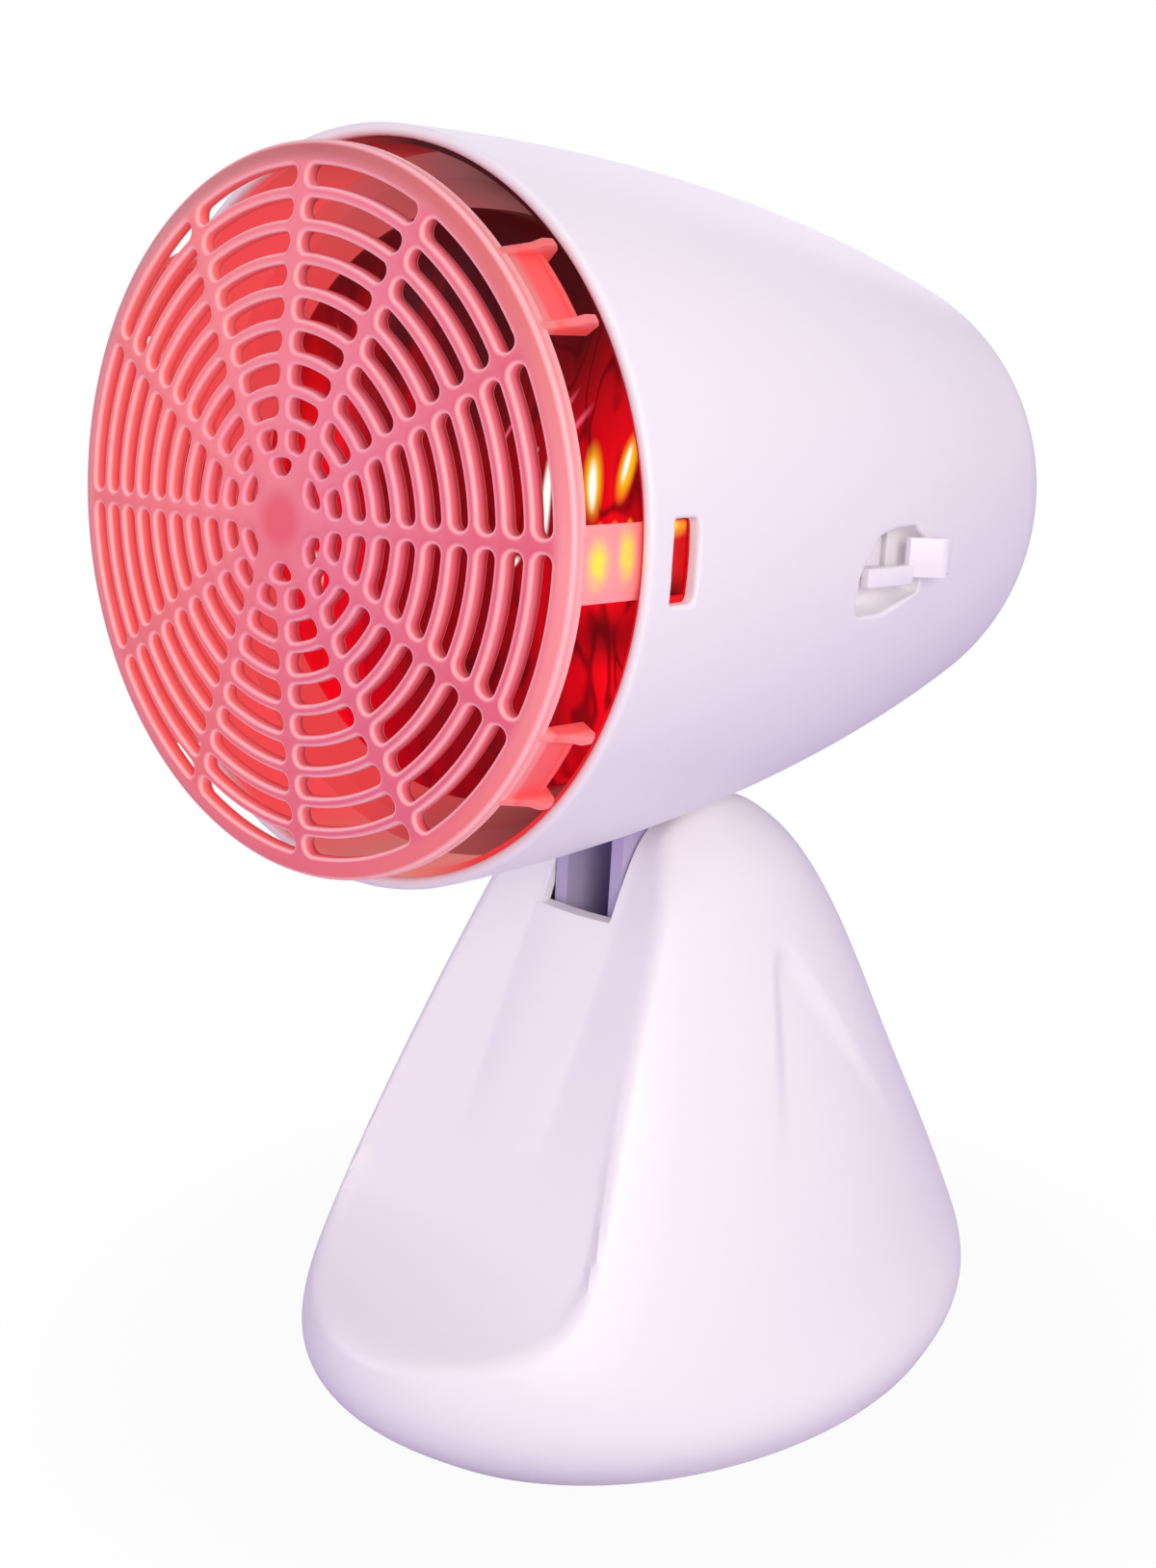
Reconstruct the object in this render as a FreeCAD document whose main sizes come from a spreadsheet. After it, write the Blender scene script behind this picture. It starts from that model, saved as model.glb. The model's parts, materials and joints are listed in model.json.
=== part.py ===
import FreeCAD, Part
import os
import re

import Sketcher
from FreeCAD import Placement, Rotation, Vector

# Infrared heat therapy lamp: a bullet-shaped head with a guard grille, hinged on a weighted cone base.
# Frame: millimetres, +Z up, the head faces -Y, the origin is on the floor under the middle of the base.
# The pieces of the head are drawn in the head's own frame, with +Z out of the mouth and +Y up, and
# are then placed on the hinge; there, "back" means the distance behind the plane of the mouth.

# ---------------------------------------------------------------- driving dimensions

DIMENSIONS = {
    # where the head sits
    "pivot_back": 6.1, "pivot_height": 110, "mouth_reach": 99, "axis_rise": 98, "rest_tilt": 5,
    # head shell
    "mouth_radius": 75, "side_radius": 590, "turn_back": 160, "turn_radius": 42, "shell_wall": 2.5,
    "lip_round": 1.1, "cap_opening": 34, "ledge_back": 22, "ledge_thick": 2.5, "ledge_bore": 67,
    "window_back": 9.5, "window_length": 8, "window_height": 17,
    # rear cap
    "cap_gap": 0.15, "cap_wall": 2.2, "cap_crown": 12, "spigot_length": 6.5, "snap_height": 0.9,
    "snap_length": 2, "snap_rise": 0.5, "vent_inner": 10, "vent_outer": 24, "vent_width": 3, "vent_count": 12,
    # guard grille
    "grille_radius": 70.7, "grille_front": 15.6, "grille_crown": 21.7, "grille_wall": 3.4,
    "skirt_back": 11.9, "skirt_wall": 2.2, "slot_field": 66.1, "slot_pitch": 6.1, "slot_width": 3.9,
    "spoke_width": 2.8, "spoke_phase": 2.5, "slot_count": 12, "hub_slot_count": 6, "hub_slot_outer": 11.8,
    "hub_slot_inner": 8.4, "hub_bar": 5.3, "leg_width": 15, "leg_wall": 2, "leg_back": 15, "leg_gap": 0.35,
    "clip_angle": 37.5, "clip_turn": 4, "clip_span": 16.4, "fin_width": 1.8, "fin_reach": 2.8, "fin_gap": 0.3,
    "clip_plate_back": 3.5,
    # reflector bulb
    "bulb_radius": 60.5, "lens_crown": 11, "lens_front": 15, "lens_wall": 3, "lens_rim": 6.5,
    "bulb_wall": 2, "bulb_side_radius": 100, "neck_radius": 14.5, "bulb_length": 99.5, "screw_radius": 13.1,
    "screw_length": 28, "screw_wall": 0.6, "contact_radius": 4, "contact_height": 3, "stem_radius": 5,
    "stem_length": 26, "filament_ring": 11, "filament_radius": 0.9, "filament_back": 70.5,
    "filament_open": 35, "wire_radius": 0.6,
    # lamp holder and its bracket
    "holder_radius": 19, "holder_length": 48, "holder_floor": 10, "holder_overlap": 4,
    "holder_mouth_gap": 0.6, "thread_gap": 0.35,
    "thread_wall": 0.45, "bracket_radius": 47, "bracket_wall": 1.6,
    "bracket_boss_ring": 42, "bracket_boss_radius": 4, "holder_screw_ring": 9,
    # heat shield
    "shield_wall": 0.8, "shield_flange": 71, "shield_front_radius": 66, "shield_back_radius": 49.5,
    "shield_back": 74,
    # red liner of the mouth
    "liner_wall": 1, "liner_gap": 0.1, "liner_front": 1.6, "liner_back": 20.9,
    # switch lever in its dish
    "lever_drop": 4, "lever_height": 10.4, "lever_gap": 0.4, "lever_back": 86, "lever_pin_depth": 58.5,
    "lever_pin_radius": 1.3, "lever_pin_grip": 5, "pin_gap": 0.02, "hub_slot_front": 3.5,
    "hub_slot_rear": 1.2, "hub_radius": 3.4, "hub_run_gap": 0.05, "tongue_height": 4.2, "tongue_front": 73.5,
    "plate_front": 83, "plate_rear": 90, "tab_rear": 103, "tab_outer": 72, "tab_wall": 2.3,
    "tongue_level": 64, "tongue_wall": 2.6, "dish_front": 70, "dish_rear": 91.5, "dish_top": 2.6,
    "dish_bottom": 17.8, "dish_floor": 61.5, "dish_round": 11, "dish_corner": 4,
    "cup_wall": 3, "cup_bottom": 54,
    "switch_depth": 8, "switch_length": 20, "switch_width": 12, "terminal_length": 5,
    "terminal_width": 4.8, "terminal_wall": 0.8,
    # neck arm
    "arm_half_width": 10, "arm_flange": 3.5, "arm_front": 25.5, "arm_back": 10, "arm_eye": 10,
    "arm_top_wall": 5, "arm_web_front": 9, "arm_web_wall": 3, "arm_seat_gap": 0.05,
    "neck_screw_spread": 24, "neck_screw_grip": 6, "neck_screw_sink": 0.8,
    # hinge
    "bolt_radius": 3, "bolt_gap": 0.06, "bolt_head_radius": 5.5, "bolt_head_height": 3.5,
    "washer_wall": 1, "washer_radius": 9, "washer_gap": 0.05, "spring_washer_wall": 1.2,
    "spring_washer_radius": 5.2, "nut_radius": 5.5, "nut_height": 4, "cheek_wall": 2,
    "cheek_front": 12, "cheek_back": 12, "cheek_eye": 12, "yoke_drop": 14, "yoke_half_width": 33,
    "yoke_screw_spread": 27, "shelf_depth": 14, "shelf_inner": 20,
    # base shell: height, half width, half length and centre of each oval section
    "base_wall": 2.5, "floor_gap": 1,
    "oval_1_height": 1, "oval_1_width": 64, "oval_1_length": 83, "oval_1_back": 8.1,
    "oval_2_height": 10, "oval_2_width": 68.5, "oval_2_length": 91, "oval_2_back": 5.1,
    "oval_3_height": 24, "oval_3_width": 66, "oval_3_length": 94, "oval_3_back": 1.1,
    "oval_4_height": 45, "oval_4_width": 60, "oval_4_length": 85.5, "oval_4_back": 0.1,
    "oval_5_height": 70, "oval_5_width": 52.5, "oval_5_length": 71.5, "oval_5_back": 1.1,
    "oval_6_height": 95, "oval_6_width": 44, "oval_6_length": 57.5, "oval_6_back": 3.1,
    "oval_7_height": 115, "oval_7_width": 36.5, "oval_7_length": 45, "oval_7_back": 4.1,
    "oval_8_height": 130, "oval_8_width": 29, "oval_8_length": 32, "oval_8_back": 4.1,
    "oval_9_height": 142, "oval_9_width": 17, "oval_9_length": 18.5, "oval_9_back": 4.1,
    # top of the base under the head, its slot, and the scoop down its front
    "head_gap": 1.6, "sweep_front": 72, "sweep_back": 36, "sweep_tail": 70, "slot_gap": 0.6,
    "slot_floor": 118, "slot_front": 21.9, "slot_back": 26.5, "slot_relief": 27.5, "scoop_slope": 62,
    "scoop_knee": 57, "scoop_hollow": 42, "scoop_heel_front": 80.9, "scoop_heel": 36, "scoop_exit": 15,
    "scoop_half_top": 24, "scoop_half_bottom": 39, "scoop_side_end": 47, "scoop_corner": 14,
    "scoop_bottom": 31, "scoop_reach": 130, "cut_height": 150,
    "dimple_depth": 2.5, "dimple_height": 88, "dimple_x": 46.3, "dimple_y": 7.1, "dimple_lean": 20,
    "dimple_half_height": 28, "dimple_half_width": 17, "dimple_thick": 14,
    # underside
    "plate_height": 1.5, "plate_wall": 2.5, "plate_gap": 0.3, "plate_sink": 1.5, "post_radius": 3.6,
    "post_x": 45, "post_y": 30, "foot_radius": 6.5, "foot_x": 30, "foot_y": 56,
    "ballast_radius": 34, "ballast_height": 10, "ballast_screw_x": 20,
    # inlet for the lead
    "inlet_height": 18, "inlet_bore": 3.6, "inlet_neck": 5.6, "inlet_flange": 7.8, "inlet_flange_wall": 2,
    "inlet_gap": 0.15, "inlet_nose": 6, "inlet_seat": 0.9,
    # terminal block
    "terminal_block_width": 26, "terminal_block_length": 14, "terminal_block_height": 12,
    "terminal_block_y": 44, "terminal_screw_radius": 2,
    # screws: shank, head and the hole beside the shank
    "screw_shank": 1.6, "screw_head": 3.2, "screw_head_height": 2, "screw_grip": 9, "hole_gap": 0.15,
}

FINISHED = {}          # finished node name -> document object

doc = FreeCAD.newDocument("heat_lamp")
dims = doc.addObject("Spreadsheet::Sheet", "dims")
for row, (alias, value) in enumerate(DIMENSIONS.items(), start=1):
    dims.set(f"A{row}", alias)
    dims.set(f"B{row}", str(value))
    dims.setAlias(f"B{row}", alias)
doc.recompute()

ALIAS = re.compile(r"\b(" + "|".join(sorted(DIMENSIONS, key=len, reverse=True)) + r")\b")


# ---------------------------------------------------------------- small helpers

def bound(text):
    """Turn plain aliases into references to the sheet."""
    return ALIAS.sub(r"dims.\1", str(text))


def number(text):
    """Value that an expression has with the sheet as it is."""
    value = dims.evalExpression(bound(text))
    return float(getattr(value, "Value", value))


def bind(obj, **expressions):
    """Bind properties of an object to expressions; a double underscore stands for a dot."""
    for name, text in expressions.items():
        obj.setExpression(name.replace("__", "."), bound(text))
    return obj


def shift(obj, x="0", y="0", z="0"):
    """Bind the place of an object."""
    return bind(obj, Placement__Base__x=x, Placement__Base__y=y, Placement__Base__z=z)


TURNED = {"X": Rotation(Vector(0, 1, 0), 90), "Y": Rotation(Vector(1, 0, 0), -90), "Z": Rotation()}


def cylinder(name, radius, low, high, at=("0", "0"), axis="Z"):
    """Round bar along an axis from low to high; at gives the two other coordinates in order."""
    obj = doc.addObject("Part::Cylinder", name)
    obj.Placement = Placement(Vector(), TURNED[axis])
    bind(obj, Radius=radius, Height=f"({high}) - ({low})")
    x, y, z = {"X": (low, *at), "Y": (at[0], low, at[1]), "Z": (*at, low)}[axis]
    return shift(obj, x, y, z)


def tube(name, outer, inner, low, high, at=("0", "0"), axis="Z"):
    """Round bar with a bore."""
    return cut(name, cylinder(name + "_bar", outer, low, high, at, axis),
               cylinder(name + "_bore", inner, low, high, at, axis))


def block(name, across, along, upward):
    """Box between the low and high expressions of each axis."""
    obj = doc.addObject("Part::Box", name)
    spans = [f"({high}) - ({low})" for low, high in (across, along, upward)]
    bind(obj, Length=spans[0], Width=spans[1], Height=spans[2])
    return shift(obj, across[0], along[0], upward[0])


def cut(name, base, *tools):
    """Base with the tools taken out."""
    obj = doc.addObject("Part::Cut", name)
    obj.Base = base
    obj.Tool = tools[0] if len(tools) == 1 else fuse(name + "_tools", *tools)
    return obj


def fuse(name, *shapes):
    """Shapes joined into one solid."""
    obj = doc.addObject("Part::MultiFuse", name)
    obj.Shapes = list(shapes)
    obj.Refine = True
    return obj


def common(name, *shapes):
    """Space that all the shapes share."""
    obj = doc.addObject("Part::MultiCommon", name)
    obj.Shapes = list(shapes)
    return obj


def group(name, *shapes):
    """Separate equal pieces kept as one node."""
    obj = doc.addObject("Part::Compound", name)
    obj.Links = list(shapes)
    return obj


def origin_plane(body, role):
    """Origin plane or axis of a body, by its role."""
    return next(item for item in body.Origin.OriginFeatures if item.Role == role)


def arc_between(start, end, radius, turn):
    """Arc of a radius from start to end; turn is 1 for anticlockwise and -1 for clockwise."""
    chord = end - start
    rise = (radius ** 2 - (chord.Length / 2) ** 2) ** 0.5
    centre = (start + end) * 0.5 + Vector(-chord.y, chord.x, 0).normalize() * rise * turn
    first, last = (start, end) if turn > 0 else (end, start)
    angles = [Vector(1, 0, 0).getAngle(point - centre) * (1 if point.y >= centre.y else -1)
              for point in (first, last)]
    return Part.ArcOfCircle(Part.Circle(centre, Vector(0, 0, 1), radius), *angles)


def outline(body, name, plane, points, arcs=None, offset="0", turned="0"):
    """Closed sketch through points; arcs gives (radius, turn) for the edge that leaves a point."""
    arcs = arcs or {}
    sketch = body.newObject("Sketcher::SketchObject", name)
    sketch.AttachmentSupport = [(origin_plane(body, plane), "")]
    sketch.MapMode = "FlatFace"
    sketch.AttachmentOffset = Placement(Vector(), Rotation(Vector(0, 1, 0), number(turned)))
    bind(sketch, AttachmentOffset__Base__z=offset)
    if turned != "0":
        bind(sketch, AttachmentOffset__Rotation__Angle=f"({turned})*1deg")
    corners = [Vector(number(u), number(v), 0) for u, v in points]
    ends = []
    for index, corner in enumerate(corners):
        target = corners[(index + 1) % len(corners)]
        if index in arcs:
            radius, turn = arcs[index]
            edge = sketch.addGeometry(arc_between(corner, target, number(radius), turn))
            sketch.addConstraint(Sketcher.Constraint("Radius", edge, number(radius)))
            sketch.setExpression(f"Constraints[{sketch.ConstraintCount - 1}]", bound(radius))
            ends.append((edge, 1, 2) if turn > 0 else (edge, 2, 1))
        else:
            edge = sketch.addGeometry(Part.LineSegment(corner, target))
            ends.append((edge, 1, 2))
    for index, (edge, start, _) in enumerate(ends):
        before, _, finish = ends[index - 1]
        sketch.addConstraint(Sketcher.Constraint("Coincident", before, finish, edge, start))
        for kind, text in zip(("DistanceX", "DistanceY"), points[index]):
            sketch.addConstraint(Sketcher.Constraint(kind, -1, 1, edge, start, number(text)))
            sketch.setExpression(f"Constraints[{sketch.ConstraintCount - 1}]", bound(text))
    return sketch


def new_body(name):
    """Empty body."""
    return doc.addObject("PartDesign::Body", name)


def revolve(body, name, sketch, angle=None):
    """Turn a sketch about its upright axis, all round or by an angle shared to both sides."""
    feature = body.newObject("PartDesign::Revolution", name)
    feature.Profile = sketch
    feature.ReferenceAxis = (sketch, ["V_Axis"])
    if angle is None:
        feature.Angle = 360
    else:
        feature.Midplane = True
        bind(feature, Angle=angle)
    return feature


def lathe(name, points, arcs=None):
    """Turned piece: the points are (radius, height) along the upright axis."""
    body = new_body(name)
    revolve(body, name + "_turn", outline(body, name + "_profile", "XZ_Plane", points, arcs))
    return body


def slab(name, plane, points, low, high, arcs=None):
    """Flat outline on an origin plane, raised from low to high along the axis across the plane."""
    body = new_body(name)
    start = f"-({high})" if plane == "XZ_Plane" else low
    sketch = outline(body, name + "_profile", plane, points, arcs, offset=start)
    pad = body.newObject("PartDesign::Pad", name + "_pad")
    pad.Profile = sketch
    bind(pad, Length=f"({high}) - ({low})")
    return body


def ring_pattern(body, name, feature, count):
    """Repeat a feature evenly about the upright axis."""
    pattern = body.newObject("PartDesign::PolarPattern", name)
    pattern.Originals = [feature]
    pattern.Axis = (origin_plane(body, "Z_Axis"), [""])
    pattern.Angle = 360
    bind(pattern, Occurrences=count)
    body.Tip = pattern
    return pattern


def screw(name, at, seat, into, axis="Z", grip="screw_grip"):
    """Pan head screw: its head stands on the seat, its shank runs "into" along the axis, signed."""
    top = f"({seat}) - ({into}) * screw_head_height"
    tip = f"({seat}) + ({into}) * ({grip})"
    low, high = (top, seat) if number(into) > 0 else (seat, top)
    first, last = (seat, tip) if number(into) > 0 else (tip, seat)
    return fuse(name, cylinder(name + "_head", "screw_head", low, high, at, axis),
                cylinder(name + "_shank", "screw_shank", first, last, at, axis))


def node(name, obj, in_head=False):
    """Give a finished piece its name and, in the head, its place on the hinge."""
    if obj.TypeId in ("Part::Box", "Part::Cylinder", "Part::Torus"):
        obj = group(name + "_piece", obj)
    obj.Label = name
    if in_head:
        obj.Placement = Placement(Vector(), Rotation(Vector(1, 0, 0), 90))
        bind(obj, Placement__Rotation__Angle="(90 - rest_tilt)*1deg")
        shift(obj, "0", "pivot_back - mouth_reach*cos(rest_tilt*1deg) + axis_rise*sin(rest_tilt*1deg)",
              "pivot_height + mouth_reach*sin(rest_tilt*1deg) + axis_rise*cos(rest_tilt*1deg)")
    FINISHED[name] = obj
    return obj


# ---------------------------------------------------------------- head shell

def side(back, inset="0"):
    """Radius of the shell's side at a distance behind the mouth."""
    return f"(sqrt((side_radius - ({inset}))^2 - ({back})^2) + mouth_radius - side_radius)"


TURN_SHARE = "(turn_back / side_radius)"
TURN_CENTRE = f"((side_radius - turn_radius) * sqrt(1 - {TURN_SHARE}^2) + mouth_radius - side_radius)"
TURN_CENTRE_BACK = f"((side_radius - turn_radius) * {TURN_SHARE})"


def turn_back_at(radius, inset="0"):
    """How far behind the mouth the rounded rear has a radius."""
    return f"({TURN_CENTRE_BACK} + sqrt((turn_radius - ({inset}))^2 - (({radius}) - {TURN_CENTRE})^2))"


def shell_form(name, inset, front, through="0"):
    """Solid bullet inside the shell's outline, set in by a distance, from a plane near the mouth."""
    back = f"(turn_back * (side_radius - ({inset})) / side_radius)"
    rear = turn_back_at("cap_opening", inset)
    points = [("0", f"-({front})"), (side(front, inset), f"-({front})"), (side(back, inset), f"-{back}"),
              ("cap_opening", f"-{rear}")]
    if through != "0":
        points.append(("cap_opening", f"-{rear} - {through}"))
    points.append(("0", f"-{rear} - {through}"))
    arcs = {1: (f"side_radius - ({inset})", -1), 2: (f"turn_radius - ({inset})", -1)}
    return lathe(name, points, arcs)


HOLDER_FRONT = "(lens_front + bulb_length - holder_overlap)"
BRACKET_FRONT = f"({HOLDER_FRONT} + holder_length)"
BRACKET_REAR = f"({BRACKET_FRONT} + bracket_wall)"
BOSS_PLACES = [(f"bracket_boss_ring * cos({angle}deg)", f"bracket_boss_ring * sin({angle}deg)")
               for angle in (90, 210, 330)]
NECK_MIDDLE = "(mouth_reach - (arm_front - arm_back)/2)"
NECK_SCREW_BACKS = [f"({NECK_MIDDLE} - neck_screw_spread/2)", f"({NECK_MIDDLE} + neck_screw_spread/2)"]
LEVER_TOP = "(lever_height/2 - lever_drop)"
LEVER_BOTTOM = "(-lever_height/2 - lever_drop)"


def neck_seat(back):
    """Height of the flat under a neck screw's head, on the floor of the shell."""
    return f"(-{side(back, 'shell_wall')} - neck_screw_sink)"


def window_bar(name):
    """Bar across the head that leaves a window on each side."""
    return block(name, ("-mouth_radius - 1", "mouth_radius + 1"), ("-window_height/2", "window_height/2"),
                 ("-window_back - window_length/2", "-window_back + window_length/2"))


LINER_OUTER = "(shell_wall + liner_gap)"
LINER_INNER = "(shell_wall + liner_gap + liner_wall)"


def make_mouth_liner():
    """Red ring inside the mouth, in front of the ledge, open at the side windows."""
    ends = [(side(back, inset), f"-{back}") for inset, back in
            ((LINER_OUTER, "liner_front"), (LINER_INNER, "liner_front"), (LINER_INNER, "liner_back"),
             (LINER_OUTER, "liner_back"))]
    return cut("liner", lathe("liner_ring", ends), window_bar("liner_windows"))


def make_head_shell():
    """Bullet shell with a ledge for the heat shield, bosses, side windows and the lever's dish."""
    inner = shell_form("shell_inner", "shell_wall", "-1", through="10")
    ledge = tube("ledge", "mouth_radius", "ledge_bore", "-ledge_back - ledge_thick", "-ledge_back")
    bosses = [cylinder(f"bracket_boss_{i}", "bracket_boss_radius", "-turn_back - turn_radius",
                       f"-{BRACKET_REAR}", place) for i, place in enumerate(BOSS_PLACES)]
    cup = block("lever_cup", ("cup_bottom", "mouth_radius"),
                ("-dish_bottom - cup_wall", "dish_top + cup_wall"),
                ("-dish_rear - cup_wall", "-dish_front + cup_wall"))
    cavity = cut("shell_cavity", inner, ledge, *bosses, cup)
    dish_points = [("dish_top", "-dish_rear"), ("dish_top", "-dish_front - dish_round/2"),
                   ("dish_top - dish_round*0.8", "-dish_front"), ("dish_corner - dish_bottom", "-dish_front"),
                   ("-dish_bottom", "-dish_front - dish_corner"), ("-dish_bottom", "-plate_front"),
                   (f"{LEVER_BOTTOM} - lever_gap/2", "-dish_rear")]
    dish = slab("lever_dish", "YZ_Plane", dish_points, "dish_floor", "mouth_radius + 1",
                {1: ("dish_round", 1), 3: ("dish_corner * 1.2", 1)})
    hub_slot = block("lever_hub_slot", ("cup_bottom - 1", "dish_floor + 1"),
                     (f"{LEVER_BOTTOM} - lever_gap", f"{LEVER_TOP} + lever_gap"),
                     ("-plate_rear - hub_slot_rear", "-plate_front + hub_slot_front"))
    pin_hole = cylinder("lever_pin_hole", "lever_pin_radius + pin_gap", f"{LEVER_BOTTOM} - lever_pin_grip",
                        f"{LEVER_TOP} + lever_pin_grip", ("lever_pin_depth", "-lever_back"), "Y")
    holes = []
    for index, back in enumerate(NECK_SCREW_BACKS):
        place = ("0", f"-{back}")
        holes.append(cylinder(f"neck_hole_{index}", "screw_shank + hole_gap", "-mouth_radius",
                              "-mouth_radius/2", place, "Y"))
        holes.append(cylinder(f"neck_flat_{index}", "screw_head + hole_gap", neck_seat(back),
                              "-mouth_radius/2", place, "Y"))
    for index, place in enumerate(BOSS_PLACES):
        holes.append(cylinder(f"boss_hole_{index}", "screw_shank + hole_gap", f"-{BRACKET_REAR} - screw_grip",
                              f"-{BRACKET_REAR} + 1", place))
    shell = cut("shell_walls", shell_form("shell_outer", "0", "0"), cavity)
    shell = cut("shell_open", shell, window_bar("shell_windows"), dish, hub_slot, pin_hole, *holes)
    return rounded("shell_round", shell, "lip_round", rim_at_mouth)


def rim_at_mouth(edge):
    """Whether an edge is one of the two circles of the shell's lip."""
    circle = getattr(edge.Curve, "Radius", 0)
    return circle > number("mouth_radius - shell_wall") - 1 and abs(edge.CenterOfMass.z) < 0.01


def rounded(name, base, radius, wanted):
    """Base with the wanted edges rounded."""
    doc.recompute()
    obj = doc.addObject("Part::Fillet", name)
    obj.Base = base
    size = number(radius)
    obj.Edges = [(index, size, size) for index, edge in enumerate(base.Shape.Edges, start=1) if wanted(edge)]
    return obj


# ---------------------------------------------------------------- rear cap and grille

def make_rear_cap():
    """Vented cap that snaps into the rear opening and carries the shell's curve on."""
    rear = turn_back_at("cap_opening - cap_gap")
    end = turn_back_at("cap_crown")
    inner_end = f"({end} - cap_wall)"
    snap = f"({turn_back_at('cap_opening', 'shell_wall')} - snap_length)"
    points = [("0", f"-{end}"), ("cap_crown", f"-{end}"), ("cap_opening - cap_gap", f"-{rear}"),
              ("cap_opening - cap_gap", f"-{snap} - snap_length + snap_rise"),
              ("cap_opening + snap_height", f"-{snap} - snap_length + snap_rise * 2"),
              ("cap_opening - cap_gap", f"-{snap}"),
              ("cap_opening - cap_gap", f"-{rear} + spigot_length"),
              ("cap_opening - cap_gap - cap_wall", f"-{rear} + spigot_length"),
              ("cap_opening - cap_gap - cap_wall", f"-{rear} + cap_wall/2"),
              ("cap_crown", f"-{inner_end}"), ("0", f"-{inner_end}")]
    body = new_body("cap")
    revolve(body, "cap_turn", outline(body, "cap_profile", "XZ_Plane", points, {1: ("turn_radius", 1)}))
    slot = outline(body, "vent_profile", "XY_Plane",
                   [("vent_inner", "-vent_width/2"), ("vent_outer", "-vent_width/2"),
                    ("vent_outer", "vent_width/2"), ("vent_inner", "vent_width/2")], offset=f"-{end} - 1")
    return through_all_round(body, "vent", slot, "vent_count", f"{end}")


def through_all_round(body, name, sketch, count, depth):
    """Opening cut along +Z from its sketch, repeated about the axis."""
    doc.recompute()
    pocket = body.newObject("PartDesign::Pocket", name)
    pocket.Profile = sketch
    pocket.Reversed = True
    bind(pocket, Length=depth)
    ring_pattern(body, name + "_ring", pocket, count)
    return body


def polar(radius, angle):
    """Point of a radius at an angle."""
    return (f"({radius}) * cos({angle})", f"({radius}) * sin({angle})")


def slot_points(inner, outer, count, bar):
    """Corners of a curved slot whose ends run along the bars between neighbours."""
    corners = []
    for radius, way in ((outer, -1), (outer, 1), (inner, 1), (inner, -1)):
        half = f"(180deg / {count} - asin({bar} / 2 / ({radius})))"
        corners.append(polar(radius, f"spoke_phase * 1deg + 180deg / {count} + ({way}) * {half}"))
    return corners


def make_grille():
    """Domed disc of curved slots with a skirt, two legs that reach into the mouth and four clips."""
    body = new_body("grille")
    dome = "((grille_radius^2 + (grille_crown - grille_front)^2) / (2 * (grille_crown - grille_front)))"
    under = f"({dome} - grille_wall)"
    skirt_inner = "(grille_radius - skirt_wall)"
    sink = f"(grille_crown - {dome} + sqrt({under}^2 - {skirt_inner}^2))"
    points = [("0", "grille_crown"), ("0", "grille_crown - grille_wall"), (skirt_inner, sink),
              (skirt_inner, "skirt_back"), ("grille_radius", "skirt_back"), ("grille_radius", "grille_front")]
    revolve(body, "grille_turn", outline(body, "grille_profile", "XZ_Plane", points,
                                         {1: (under, -1), 5: (dome, 1)}))
    rows = 1 + int(number("(slot_field - slot_width - hub_slot_outer) / slot_pitch"))
    for row in range(rows):
        outer = f"(slot_field - {row} * slot_pitch)"
        inner = f"({outer} - slot_width)"
        sketch = outline(body, f"slot_profile_{row}", "XY_Plane",
                         slot_points(inner, outer, "slot_count", "spoke_width"),
                         {0: (outer, 1), 2: (inner, -1)})
        through_all_round(body, f"slot_{row}", sketch, "slot_count", "grille_crown + 1")
    hub = outline(body, "hub_slot_profile", "XY_Plane",
                  slot_points("hub_slot_inner", "hub_slot_outer", "hub_slot_count", "hub_bar"),
                  {0: ("hub_slot_outer", 1), 2: ("hub_slot_inner", -1)})
    through_all_round(body, "hub_slot", hub, "hub_slot_count", "grille_crown + 1")
    leg_outer = f"({side('window_back + window_length/2', LINER_INNER)} - leg_gap)"
    leg = [("grille_radius - leg_wall", "skirt_back + skirt_wall"), ("grille_radius - leg_wall", "-leg_back"),
           (leg_outer, "-leg_back"), (leg_outer, "-window_back - window_length/2 - 0.5"),
           ("grille_radius", "0"), ("grille_radius", "skirt_back + skirt_wall")]
    add_all_round(body, "leg", leg, "0", "leg_width / mouth_radius * 1rad")
    for index, angle in enumerate(("clip_turn + clip_angle", "clip_turn - clip_angle")):
        plate = [("grille_radius - leg_wall", "skirt_back + 1"),
                 ("grille_radius - leg_wall", "clip_plate_back"),
                 ("grille_radius", "clip_plate_back"), ("grille_radius", "skirt_back + 1")]
        add_all_round(body, f"clip_plate_{index}", plate, angle, "clip_span / grille_radius * 1rad")
        fin = [("grille_radius - leg_wall", "skirt_back + 1"), ("grille_radius - leg_wall", "fin_gap"),
               ("grille_radius + fin_reach", "fin_gap"), ("grille_radius + fin_reach", "skirt_back/2"),
               ("grille_radius - 0.2", "grille_front - 1")]
        for way in (-1, 1):
            place = f"{angle} + ({way}) * clip_span / grille_radius / 2 * 180 / pi"
            add_all_round(body, f"fin_{index}_{way + 1}", fin, place, "fin_width / grille_radius * 1rad")
    return body


def add_all_round(body, name, points, angle, span):
    """Curved rib turned through a small span at an angle, and again opposite."""
    sketch = outline(body, name + "_profile", "XZ_Plane", points, turned=angle)
    feature = revolve(body, name, sketch, span)
    ring_pattern(body, name + "_pair", feature, "2")


# ---------------------------------------------------------------- reflector bulb and its holder

BULB_RIM = "(lens_front + lens_crown)"
BULB_SEAM = f"({BULB_RIM} + lens_rim)"
BULB_NECK_END = "(lens_front + bulb_length)"
HOLDER_STEP = f"(-{BULB_NECK_END} - holder_mouth_gap)"
SCREW_END = f"({BULB_NECK_END} + screw_length)"


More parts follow.
